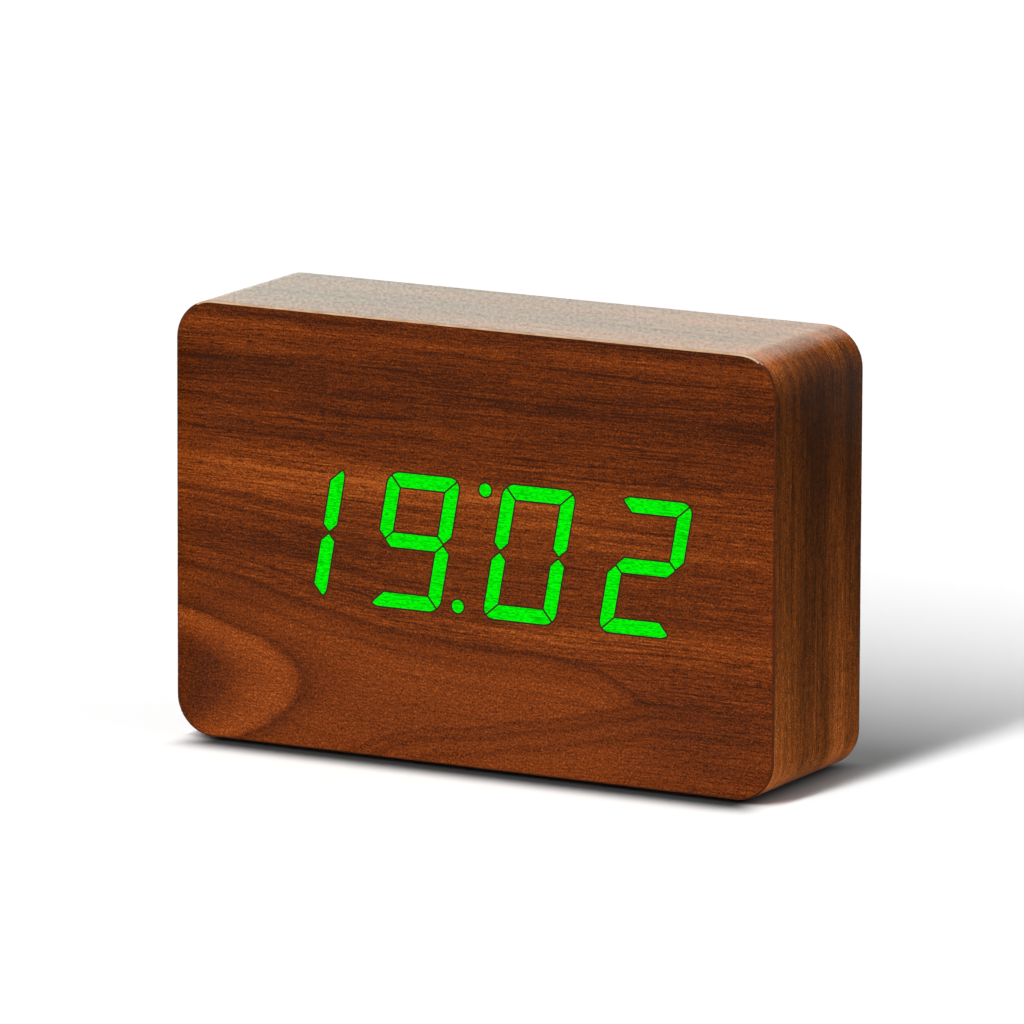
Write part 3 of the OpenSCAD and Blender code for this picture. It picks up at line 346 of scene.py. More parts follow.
    def _directions(self, tree: Tree) -> tuple[Socket, Socket]:
        """Give the places along and across the grain, in mm.

        Args:
            tree: Tree that gets the nodes.

        Returns:
            The sockets of the two places.
        """
        coordinates = add(tree, "ShaderNodeTexCoord")
        source = coordinates.outputs["UV" if self.cut is Cut.WRAPPED else "Object"]
        scaled = add(tree, "ShaderNodeVectorMath", {0: source, "Scale": 1 / MM}, operation="SCALE")
        parts = add(tree, "ShaderNodeSeparateXYZ", {0: scaled})
        return parts.outputs["X"], parts.outputs["Y" if self.cut is Cut.WRAPPED else "Z"]

    def _streaks(self, tree: Tree, grid: Node, length: float, width: float, detail: float) -> Node:
        """Give a noise drawn out along the grain, centred on zero.

        Args:
            tree: Tree that gets the nodes.
            grid: Place along and across the grain, in mm.
            length: Length of a streak, in mm.
            width: Width of a streak, in mm.
            detail: Octaves of finer noise.

        Returns:
            The node whose output is the streak's level.
        """
        # Short streaks are turned off the rows of pixels, where they would show as a weave
        tilt = self.SHORT_TILT if length < 2 * width else 0.0
        turned = add(tree, "ShaderNodeMapping", {"Vector": grid, "Rotation": (0.0, 0.0, tilt)})
        stretched = add(tree, "ShaderNodeMapping", {"Vector": turned, "Scale": (1 / length, 1 / width, 1.0)})
        noise = add(tree, "ShaderNodeTexNoise", {"Vector": stretched, "Scale": 1.0, "Detail": detail})
        return add(tree, "ShaderNodeMath", {0: noise, 1: 0.5}, operation="SUBTRACT")

    def _straight_figure(self, tree: Tree, grid: Node, along: Socket, across: Socket) -> Node:
        """Give the tone of straight growth lines that waver slightly along their length, with painted light and shade
        round the case on the wrap.

        Args:
            tree: Tree that gets the nodes.
            grid: Place along and across the grain, in mm.
            along: Place along the grain.
            across: Place across the grain.

        Returns:
            The node whose output is the tone.
        """
        waver = self._streaks(tree, grid, *self.WAVER)
        place = add(tree, "ShaderNodeMath", {0: waver, 1: self.WAVER_MM, 2: across}, operation="MULTIPLY_ADD")
        least = -self.HALF_DEPTH_MM
        if self.cut is Cut.STRAIGHT:
            place = add(tree, "ShaderNodeMath", {0: place, 1: self.HALF_DEPTH_MM}, operation="PINGPONG")
            least = 0.0
        level = add(tree, "ShaderNodeMapRange", {"Value": place, "From Min": least,
                                                 "From Max": self.HALF_DEPTH_MM})
        tone = add(tree, "ShaderNodeValToRGB", {"Fac": level}, stops=self.ACROSS)
        if self.cut is Cut.STRAIGHT:
            return tone
        # On the wrap, painted light and shade by the way round the case
        turn = add(tree, "ShaderNodeMath", {0: along, 1: self.GIRTH_MM}, operation="DIVIDE")
        lift = add(tree, "ShaderNodeValToRGB", {"Fac": turn}, stops=[(s, t + self.LIFT) for s, t in self.PAINTED_LIGHT_ROUND])
        tone = add(tree, "ShaderNodeMath", {0: tone, 1: lift}, operation="ADD")
        return add(tree, "ShaderNodeMath", {0: tone, 1: self.LIFT}, operation="SUBTRACT")

    def _edge(self, tree: Tree, along: Socket, points: Sequence[Point]) -> Node:
        """Give the height of a curved edge of the figure above the place along the grain.

        Args:
            tree: Tree that gets the nodes.
            along: Place along the grain, in mm.
            points: Places and heights that the edge passes through, in mm.

        Returns:
            The node whose output is the height, in mm.
        """
        level = add(tree, "ShaderNodeMapRange", {"Value": along, "From Min": -self.WIDTH_MM / 2,
                                                 "From Max": self.WIDTH_MM / 2})
        stops = [(x / self.WIDTH_MM + 0.5, (z - self.LENS_FROM) / self.LENS_SPAN) for x, z in points]
        curve = add(tree, "ShaderNodeValToRGB", {"Fac": level}, stops=stops, spread="CARDINAL")
        return add(tree, "ShaderNodeMath", {0: curve, 1: self.LENS_SPAN, 2: self.LENS_FROM},
                   operation="MULTIPLY_ADD")

    def _crown_figure(self, tree: Tree, grid: Node, along: Socket, across: Socket) -> tuple[Node, Node, Node]:
        """Give the front's figure: flat bands above a long pale lens, lines below it, and an arch at one end.

        Args:
            tree: Tree that gets the nodes.
            grid: Place along and across the grain, in mm.
            along: Place along the grain.
            across: Place across the grain.

        Returns:
            The nodes for the tone, for how streaky the wood is, and for the place along and across its rings.
        """
        height = add(tree, "ShaderNodeMath", {0: across, 1: self.PAD_MM}, operation="SUBTRACT")
        for noise, reach in self.RING_WAVERS:
            height = add(tree, "ShaderNodeMath", {0: self._streaks(tree, grid, *noise), 1: reach, 2: height},
                         operation="MULTIPLY_ADD")
        bands, flow = self._bands(tree, along, height)
        # Inside the lens the wood pales away from its dark upper edge
        depth = self._below(tree, along, height, self.LENS_UPPER)
        depth = add(tree, "ShaderNodeMath", {0: depth, 1: self.TONES_MM}, operation="DIVIDE")
        lens = add(tree, "ShaderNodeValToRGB", {"Fac": depth}, stops=self.LENS_TONES)
        # Below it, lines run up to the right along its lower edge
        under = self._below(tree, along, height, self.LENS_LOWER)
        drop = add(tree, "ShaderNodeMath", {0: under, 1: self.TONES_MM}, operation="DIVIDE")
        foot = add(tree, "ShaderNodeValToRGB", {"Fac": drop}, stops=self.FOOT_TONES)
        below = add(tree, "ShaderNodeMapRange", {"Value": under, "From Min": -self.LOWER_EDGE_MM,
                                                 "From Max": self.LOWER_EDGE_MM}, interpolation_type="SMOOTHSTEP")
        tone = add(tree, "ShaderNodeMix", {"Factor": below, "A": lens, "B": foot})
        arch, within = self._arch(tree, along, height)
        tone = add(tree, "ShaderNodeMix", {"Factor": within, "A": tone, "B": arch})
        above = add(tree, "ShaderNodeMapRange", {"Value": depth, "From Min": -self.UPPER_EDGE,
                                                 "From Max": self.UPPER_EDGE, "To Min": 1.0, "To Max": 0.0},
                    interpolation_type="SMOOTHSTEP")
        tone = add(tree, "ShaderNodeMix", {"Factor": above, "A": tone, "B": bands})
        for centre, reach, weight in self.SPOTS:
            spot = add(tree, "ShaderNodeMapping", {"Vector": grid, "Location": (*centre, 0.0),
                                                   "Scale": (*reach, 1.0)}, vector_type="TEXTURE")
            ball = add(tree, "ShaderNodeTexGradient", {"Vector": spot}, gradient_type="SPHERICAL")
            tone = add(tree, "ShaderNodeMath", {0: ball.outputs["Fac"], 1: weight, 2: tone},
                       operation="MULTIPLY_ADD")
        busy = add(tree, "ShaderNodeMapRange", {"Value": above, "To Min": self.CALM, "To Max": 1.0})
        start, stop, most = self.STREAKY_RIGHT
        right = add(tree, "ShaderNodeMapRange", {"Value": along, "From Min": start, "From Max": stop,
                                                 "To Max": most})
        busy = add(tree, "ShaderNodeMath", {0: busy, 1: right}, operation="MAXIMUM")
        return tone, busy, flow

    def _below(self, tree: Tree, along: Socket, height: Node, points: Sequence[Point]) -> Node:
        """Give how far a place lies below a curved edge of the figure, in mm."""
        edge = self._edge(tree, along, points)
        return add(tree, "ShaderNodeMath", {0: edge, 1: height}, operation="SUBTRACT")

    def _bands(self, tree: Tree, along: Socket, height: Node) -> tuple[Node, Node]:
        """Give the flat bands above the lens, which lean with its edge and straighten out further up.

        Args:
            tree: Tree that gets the nodes.
            along: Place along the grain, in mm.
            height: Height above the wood's lower edge, in mm, with its waver.

        Returns:
            The nodes for the bands' tone, and for the place along and across them.
        """
        start, stop = self.LEAN_FADES
        lean = add(tree, "ShaderNodeMapRange", {"Value": height, "From Min": start, "From Max": stop, "To Min": 1.0,
                                                "To Max": 0.0}, interpolation_type="SMOOTHSTEP")
        rise = add(tree, "ShaderNodeMath", {0: self.LENS_FLAT_MM, 1: self._edge(tree, along, self.RINGS)},
                   operation="SUBTRACT")
        ring_height = add(tree, "ShaderNodeMath", {0: rise, 1: lean, 2: height}, operation="MULTIPLY_ADD")
        flow = add(tree, "ShaderNodeCombineXYZ", {"X": along, "Y": ring_height})
        level = add(tree, "ShaderNodeMath", {0: ring_height, 1: self.HEIGHT_MM}, operation="DIVIDE")
        bands = add(tree, "ShaderNodeValToRGB", {"Fac": level},
                    stops=[(z / self.HEIGHT_MM, tone) for z, tone in self.BANDS])
        return bands, flow

    def _arch(self, tree: Tree, along: Socket, height: Node) -> tuple[Node, Node]:
        """Give the arch, whose places on one curve share one growth ring.

        Args:
            tree: Tree that gets the nodes.
            along: Place along the grain, in mm.
            height: Height above the wood's lower edge, in mm, with its waver.

        Returns:
            The nodes for the arch's tone, and for how much of it shows.
        """
        slope, level = self.ARCH_AXIS
        axis = add(tree, "ShaderNodeMath", {0: along, 1: slope, 2: level}, operation="MULTIPLY_ADD")
        off = add(tree, "ShaderNodeMath", {0: height, 1: axis}, operation="SUBTRACT")
        least, most = self.ARCH_BEND
        bend = add(tree, "ShaderNodeMapRange", {"Value": off, "From Min": -self.ARCH_TURN_MM,
                                                "From Max": self.ARCH_TURN_MM, "To Min": least, "To Max": most})
        square = add(tree, "ShaderNodeMath", {0: off, 1: off}, operation="MULTIPLY")
        ring = add(tree, "ShaderNodeMath", {0: square, 1: bend, 2: along}, operation="MULTIPLY_ADD")
        start, stop = self.ARCH_REACH
        ring = add(tree, "ShaderNodeMapRange", {"Value": ring, "From Min": start, "From Max": stop})
        arch = add(tree, "ShaderNodeValToRGB", {"Fac": ring}, stops=self.ARCH_TONES)
        start, stop = self.ARCH_FADES
        within = add(tree, "ShaderNodeMapRange", {"Value": ring, "From Min": start, "From Max": stop, "To Min": 1.0,
                                                  "To Max": 0.0}, interpolation_type="SMOOTHSTEP")
        return arch, within


@dataclass(frozen=True)
class LitVeneer(Finish):
    """Thinned veneer with green light behind it: flat glow, crossed by the shadow of the wood's fibres."""

    name: str
    glow: str
    shade: str

    # Length and width in mm of the fibres' shadows, their least level, the width of their edges, and the wood itself
    FIBRES = ((5.0, 0.4, 0.5), (1.1, 0.36, 0.47))
    FIBRE_EDGE = 0.24
    WOOD, ROUGHNESS = "#020602", 0.6

    def paint(self, tree: Tree, shader: Node) -> None:
        """Glow evenly, with faint darker lines along the grain.

        Args:
            tree: The material's tree.
            shader: Its Principled shader.
        """
        place = add(tree, "ShaderNodeTexCoord").outputs["Object"]
        marks: float | Node = 0.0
        for length, width, least in self.FIBRES:
            grid = add(tree, "ShaderNodeMapping", {"Vector": place,
                                                   "Scale": (1 / (length * MM), 1.0, 1 / (width * MM))})
            fibre = add(tree, "ShaderNodeTexNoise", {"Vector": grid, "Scale": 1.0, "Detail": 1.0})
            level = add(tree, "ShaderNodeMapRange", {"Value": fibre, "From Min": least,
                                                     "From Max": least + self.FIBRE_EDGE})
            marks = add(tree, "ShaderNodeMath", {0: marks, 1: level}, operation="MAXIMUM")
        colour = add(tree, "ShaderNodeMix", {"Factor": marks, "A": linear(self.glow), "B": linear(self.shade)},
                     data_type="RGBA")
        plug(tree, shader, {"Emission Color": colour, "Emission Strength": 1.0, "Base Color": linear(self.WOOD),
                            "Specular IOR Level": 0.0, "Roughness": self.ROUGHNESS})


class Wood:
    """The three sheets of walnut on the case, and the boards under them."""

    # Crown-cut face: red-brown, with dark bands that lean round a long pale lens, and hardly any glare
    FRONT = Walnut("walnut_crown_cut_lacquered", Cut.CROWN)
    # Straight-grained sheet under a clear coat: golden brown, greyed by a streaky sheen where light glances off it
    WRAP = Walnut("walnut_wrapped_lacquered", Cut.WRAPPED, specular=0.1, coat=1.0, relief_mm=0.04)
    # Eased front edge: a thin dark line round the face, painted shade
    EDGE_SHADE = Mottled("walnut_arris_painted_shade", "#3A1907", "#572609", (6.0, 6.0, 1.0), (0.35, 0.5), specular=0.1)
    # The same edge along the top: a thin pale line, a painted highlight
    EDGE_HIGHLIGHT = Mottled("walnut_arris_painted_highlight", "#A88260", "#CFAE8C", (5.0, 5.0, 1.0), (0.35, 0.5), specular=0.1)
    # Straight-grained border round the rear panel: red-brown, with quiet lines
    BACK = Walnut("walnut_straight_lacquered", Cut.STRAIGHT)
    # Sanded fibreboard: dull tan, flecked with pressed fibres
    BOARD = Mottled("fibreboard_sanded", "#7A5A38", "#A07C52", (0.9, 0.9, 0.9), (0.75, 0.9), 0.02, specular=0.2)


class Glow:
    """Finishes of the lit digits."""

    # Light behind thinned veneer: flat, bright green with faint darker fibres
    LIT = LitVeneer("walnut_lit_green", "#04FC06", "#00B403")
    # Ring round each lit window: a soft near-black line, painted shade where the glow falls off at the edge
    SHADE_RIM = Mottled("veneer_window_painted_shade", "#1A1406", "#2A2A0C", (0.6, 0.6, 0.6), (0.5, 0.6), specular=0.1)


class Moulding:
    """Rubbers and plastics."""

    # Spark-eroded ABS: black, even and dull, with a fine pebbled relief
    PANEL = Mottled("abs_spark_textured_black", "#1A1A1B", "#2B2B2D", (0.5, 0.5, 0.5), (0.5, 0.7), 0.05)
    # The same from another mould: a trace paler and glossier, so that the door stands out from the panel
    DOOR = Mottled("abs_spark_textured_door", "#1C1C1D", "#2E2E30", (0.5, 0.5, 0.5), (0.48, 0.66), 0.05)
    # Pad-printed ink: off-white, thin and a little uneven
    PRINT = Mottled("ink_pad_printed_white", "#B9B9B4", "#DADAD5", (0.4, 0.4, 0.4), (0.5, 0.65))
    # Polished ABS: deep black with a clear gloss
    BUTTON = Mottled("abs_polished_black", "#101011", "#19191B", (3.0, 3.0, 3.0), (0.2, 0.32), 0.004)
    # Die-cut rubber: charcoal, dead matt, faintly grainy
    RUBBER = Mottled("rubber_die_cut_black", "#161616", "#242424", (0.25, 0.25, 0.25), (0.8, 0.95), 0.03,
                     specular=0.25)
    # Moulded polycarbonate: near black, so that no light leaks between the wells
    MASK = Mottled("polycarbonate_moulded_black", "#0C0C0C", "#161616", (0.5, 0.5, 0.5), (0.5, 0.62), 0.01)
    # Cast resin: milky, with a soft gloss that spreads the light
    LENS = Mottled("resin_cast_milky", "#C8D6C8", "#DCE6DC", (1.5, 1.5, 1.5), (0.25, 0.4))
    # Chip packages: charcoal, dull and finely speckled
    EPOXY = Mottled("epoxy_moulded_black", "#141416", "#1F1F22", (0.2, 0.2, 0.2), (0.55, 0.7), 0.01)
    # Natural nylon: warm ivory, slightly waxy
    SOCKET = Mottled("nylon_moulded_ivory", "#C2B594", "#D6CAAC", (1.0, 1.0, 1.0), (0.45, 0.6), 0.005)
    # Flat cable: white film with fine lines along its wires
    RIBBON = Mottled("polyester_film_white", "#C9C9C4", "#E2E2DC", (0.5, 8.0, 8.0), (0.35, 0.5), 0.01)
    # Wire insulation: plain red or black with a soft plastic shine
    RED_WIRE = Mottled("pvc_insulation_red", "#7E0F0C", "#A31713", (1.2, 1.2, 1.2), (0.4, 0.55), 0.01)
    BLACK_WIRE = Mottled("pvc_insulation_black", "#141414", "#242424", (1.2, 1.2, 1.2), (0.4, 0.55), 0.01)
    # Moulded nylon: deep black, smoother than the panel
    JACK = Mottled("nylon_moulded_black", "#0E0E0F", "#18181A", (0.4, 0.4, 0.4), (0.35, 0.48), 0.006)
    # Circuit board: green lacquer with a wet shine over a faint weave
    MASKED_BOARD = Mottled("glass_epoxy_green_masked", "#0A3B1C", "#125229", (2.2, 2.2, 2.2), (0.22, 0.34), 0.01,
                           coat=0.3)
    # Light-emitting chips: pale yellow-green and clear, with sharp glints
    LED = Mottled("led_chip_clear", "#C9CF9E", "#E4E8C4", (0.6, 0.6, 0.6), (0.15, 0.25))
    # Shrunk film round a cell: even slate blue with a wet shine, and a plain pale band at the positive end
    SLEEVE = Mottled("film_shrunk_slate_blue", "#22405A", "#2C5070", (8.0, 1.5, 1.5), (0.22, 0.34), coat=0.4)
    BAND = Mottled("film_shrunk_pale_grey", "#A9ADB0", "#BFC3C6", (8.0, 1.5, 1.5), (0.22, 0.34), coat=0.4)
    # Capacitor sleeves: dark blue with a soft shine
    CAPACITOR = Mottled("capacitor_sleeve_blue", "#141F3E", "#1E2C54", (1.0, 1.0, 1.0), (0.25, 0.4))


class Plating:
    """Metals."""

    # Zinc plate: pale grey with a slightly cloudy shine
    ZINC = Mottled("steel_zinc_plated", "#9C9C98", "#BDBDB8", (0.8, 0.8, 0.8), (0.28, 0.42), metallic=1.0)
    # Black oxide: near black with a dull oily shine
    OXIDE = Mottled("steel_black_oxide", "#1B1B1C", "#2D2D2F", (0.6, 0.6, 0.6), (0.32, 0.48), 0.004, metallic=1.0)
    # Nickel plate: warm bright grey, nearly a mirror
    NICKEL = Mottled("steel_nickel_plated", "#B3AEA2", "#CFCABF", (1.2, 1.2, 1.2), (0.18, 0.3), metallic=1.0)
    # Plated wire: bright, with fine marks from drawing
    SPRING = Mottled("spring_wire_nickel_plated", "#A5A29A", "#C6C3BA", (0.4, 0.4, 0.4), (0.2, 0.32), metallic=1.0)
    # Drawn cans: pale, with fine lines round them
    CAN = Mottled("aluminium_drawn_can", "#AFAFAC", "#C9C9C6", (0.3, 3.0, 3.0), (0.25, 0.4), metallic=1.0)
    # Stamped sheet: bright grey with rolling lines
    STAMPED = Mottled("steel_stamped_bright", "#A0A09C", "#BEBEBA", (2.0, 0.4, 2.0), (0.28, 0.42), metallic=1.0)
    # Turned brass under a thin flash of nickel: pale gold
    BRASS = Mottled("brass_nickel_flash", "#A98B54", "#C7A96E", (0.5, 2.0, 0.5), (0.2, 0.34), metallic=1.0)


def new_piece(name: str, shape: Shape, finishes: Sequence[Finish]) -> bpy.types.Object:
    """Turn a finished bmesh into an object at the origin.

    Args:
        name: Name of the piece.
        shape: Mesh in metres, which is freed.
        finishes: Finish of each material slot.

    Returns:
        The new object, linked to the scene.
    """
    mesh = bpy.data.meshes.new(name)
    shape.to_mesh(mesh)
    shape.free()
    piece = bpy.data.objects.new(name, mesh)
    bpy.context.scene.collection.objects.link(piece)
    for finish in finishes:
        mesh.materials.append(finish.material())
    LOG.info("piece %s: %d faces", name, len(mesh.polygons))
    return piece


def settle(piece: bpy.types.Object, body: str, nodes: Sequence[str] = ()) -> bpy.types.Object:
    """Tie a piece to its body and the nodes it stands for.

    Args:
        piece: Finished object.
        body: Body that it rides on.
        nodes: CAD nodes that it replaces.

    Returns:
        The same object.
    """
    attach(piece, body)
    if nodes:
        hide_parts(*nodes)
    return piece


def inside(point: Point, loop: Loop) -> bool:
    """Tell whether a point lies in a closed loop.

    Args:
        point: The point.
        loop: Corners of the loop.

    Returns:
        True where the point lies inside.
    """
    x, z = point
    found = False
    for (ax, az), (bx, bz) in zip(loop, loop[1:] + loop[:1]):
        if (az > z) != (bz > z) and x < ax + (z - az) / (bz - az) * (bx - ax):
            found = not found
    return found


def rings_of(shape: Shape, rings: Sequence[tuple[Loop, float]]) -> list[Ring]:
    """Add rings of vertices to a mesh.

    Args:
        shape: Mesh in metres.
        rings: Outline and depth of each ring, in mm.

    Returns:
        The vertices of each ring.
    """
    return [[shape.verts.new((x * MM, y * MM, z * MM)) for x, z in loop] for loop, y in rings]


class FrontSlot(IntEnum):
    """Material slots of the front sheet."""

    FACE = 0
    EDGE_SHADE = 1
    EDGE_HIGHLIGHT = 2


@dataclass(frozen=True)
class Case:
    """The veneered box: sizes in mm."""

    width: float = 150.0
    height: float = 99.0
    depth: float = 42.0
    corner: float = 9.0
    veneer: float = 0.6
    ease: float = 0.4
    # How far below the top the painted highlight on the front edge reaches, on the left and on the right
    highlight_reach: Pair = (1.2, 1.7)
    # Height of the wood's lower edge above the table
    pad: float = 1.0
    corner_steps: int = 14
    ease_steps: int = 3
    # Width, height and corner radius of the opening for the rear panel
    seat: Triple = (132.1, 81.1, 6.0)

    @property
    def middle(self) -> float:
        """Height of the wood's middle."""
        return self.pad + self.height / 2

    def outline(self, inset: float = 0.0) -> Loop:
        """Give the case's rounded outline, seen from the front, from its lower middle and turning left.

        Args:
            inset: Distance inside the outer edge.

        Returns:
            Points to the right and up, in mm.
        """
        return self.rounded(self.width - 2 * inset, self.height - 2 * inset, self.corner - inset)

    def rounded(self, width: float, height: float, radius: float) -> Loop:
        """Give a rounded rectangle round the case's middle, from its lower middle and turning left.

        Args:
            width: Its width.
            height: Its height.
            radius: Radius of its corners.

        Returns:
            Points to the right and up, in mm.
        """
        loop: Loop = [(0.0, self.middle - height / 2)]
        for turn, (sx, sz) in enumerate(((1, -1), (1, 1), (-1, 1), (-1, -1))):
            for step in range(self.corner_steps + 1):
                angle = math.radians(90 * (turn - 1 + step / self.corner_steps))
                loop.append((sx * (width / 2 - radius) + radius * math.cos(angle),
                             self.middle + sz * (height / 2 - radius) + radius * math.sin(angle)))
        return loop

    def build(self, digits: "Digits") -> None:
        """Make and settle the three sheets of veneer, and dress the boards.

        Args:
            digits: The lit time on the front.
        """
        settle(self._front(digits), "case", ["front_veneer"])
        settle(self._wrap(), "case", ["wrap_veneer"])
        settle(self._back(), "case", ["back_veneer"])
        for node in ("left_side", "right_side", "top_board", "bottom_board", "corner_blocks", "front_board"):
            dress(node, Wood.BOARD)

    def _eased(self, face_y: float, way: int) -> list[tuple[Loop, float]]:
        """Give the rings of an eased edge, from the face out to the side.

        Args:
            face_y: Depth of the face.
            way: 1 where the sheet lies behind its face, -1 where it lies in front of it.

        Returns:
            Outline and depth of each ring.
        """
        rings = []
        for step in range(self.ease_steps + 1):
            angle = math.radians(90 * step / self.ease_steps)
            inset, lift = self.ease * (1 - math.sin(angle)), self.ease * (1 - math.cos(angle))
            rings.append((self.outline(inset), face_y + way * lift))
        return rings

    def _front(self, digits: "Digits") -> bpy.types.Object:
        """Make the front sheet, with an eased outer edge and a shallow pocket for each lit window.

        Args:
            digits: The lit time, which has the windows.

        Returns:
            The new piece.
        """
        shape = bmesh.new()
        face_y = -self.depth / 2
        floor_y, back_y = face_y + digits.pocket, face_y + self.veneer
        digits.fill(shape, Region.VENEER, face_y)
        digits.fill(shape, Region.SHADE_RIM, floor_y)
        digits.fill(shape, Region.LIT, floor_y)
        digits.wall(shape, face_y, floor_y)
        loops = rings_of(shape, [*self._eased(face_y, 1), (self.outline(), back_y)])
        # The eased edge carries painted shade, and along the top a painted highlight instead
        bridge(shape, loops[:-1], FrontSlot.EDGE_SHADE)
        for face in shape.faces:
            middle = face.calc_center_median()
            crest = self.pad + self.height - self.highlight_reach[middle.x > 0]
            if face.material_index == FrontSlot.EDGE_SHADE and middle.z > crest * MM:
                face.material_index = FrontSlot.EDGE_HIGHLIGHT
        bridge(shape, loops[-2:], FrontSlot.FACE)
        shape.faces.new(loops[-1])
        close(shape)
        return new_piece("front_sheet", shape, [Wood.FRONT, Wood.EDGE_SHADE, Wood.EDGE_HIGHLIGHT])

    def _wrap(self) -> bpy.types.Object:
        """Make the sheet bent round the sides, with a UV map that runs round the case.

        Returns:
            The new piece.
        """
        shape = bmesh.new()
        reach = self.depth / 2 - self.veneer
        rings = [(self.outline(), -reach), (self.outline(), reach), (self.outline(self.veneer), reach),
                 (self.outline(self.veneer), -reach)]
        loops = rings_of(shape, rings)
        bridge(shape, loops + loops[:1])
        outline = self.outline()
        steps = [math.dist(a, b) for a, b in zip(outline, outline[1:] + outline[:1])]
        run = [sum(steps[:i]) for i in range(len(steps) + 1)]
        shape.verts.index_update()
        uv = shape.loops.layers.uv.new("round_the_case")
        count = len(steps)
        for face in shape.faces:
            places = [corner.vert.index % count for corner in face.loops]
            wraps = max(places) - min(places) > 1
            for corner, place in zip(face.loops, places):
                far = count if wraps and place == 0 else place
                corner[uv].uv = (run[far] * MM, corner.vert.co.y)
        bmesh.ops.recalc_face_normals(shape, faces=shape.faces)
        smooth(shape)
        return new_piece("wrap_sheet", shape, [Wood.WRAP])

    def _back(self) -> bpy.types.Object:
        """Make the border of veneer round the rear panel.

        Returns:
            The new piece.
        """
        shape = bmesh.new()
        face_y, front_y = self.depth / 2, self.depth / 2 - self.veneer
        opening = self.rounded(*self.seat)
        loops = rings_of(shape, [(self.outline(), front_y), *reversed(self._eased(face_y, -1)), (opening, face_y),
                                 (opening, front_y)])
        bridge(shape, loops + loops[:1])
        close(shape)
        return new_piece("back_border", shape, [Wood.BACK])


def bridge(shape: Shape, loops: Sequence[Ring], slot: int = 0) -> None:
    """Join each ring of vertices to the next with four-sided faces.

    Args:
        shape: Mesh that gets the faces.
        loops: The rings, in order.
        slot: Material slot of the faces.
    """
    for near, far in zip(loops, loops[1:]):
        for i in range(len(near)):
            j = (i + 1) % len(near)
            shape.faces.new((near[i], near[j], far[j], far[i])).material_index = slot


def smooth(shape: Shape, limit: float = 32.0) -> None:
    """Shade a mesh smooth, except over its sharp edges.

    Args:
        shape: Mesh to shade.
        limit: Angle between faces from which an edge is sharp, in degrees.
    """
    for face in shape.faces:
        face.smooth = True
    for edge in shape.edges:
        edge.smooth = len(edge.link_faces) == 2 and edge.calc_face_angle() < math.radians(limit)


def close(shape: Shape) -> None:
    """Merge doubled vertices, turn the faces outwards and shade them.

    Args:
        shape: Mesh to close.
    """
    bmesh.ops.remove_doubles(shape, verts=shape.verts, dist=WELD_MM * MM)
    bmesh.ops.recalc_face_normals(shape, faces=shape.faces)
    smooth(shape)


def dress(node: str, finish: Finish) -> None:
    """Put a finish on a CAD node that stays.

    Args:
        node: Name of the node.
        finish: Its finish.
    """
    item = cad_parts[node]
    if not item.material_slots:
        item.data.materials.append(None)
    for slot in item.material_slots:
        slot.material = finish.material()
    LOG.info("node %s: %s", node, finish.name)


class Region(Enum):
    """Parts of the front face."""

    VENEER = "veneer"
    SHADE_RIM = "shade_rim"
    LIT = "lit"


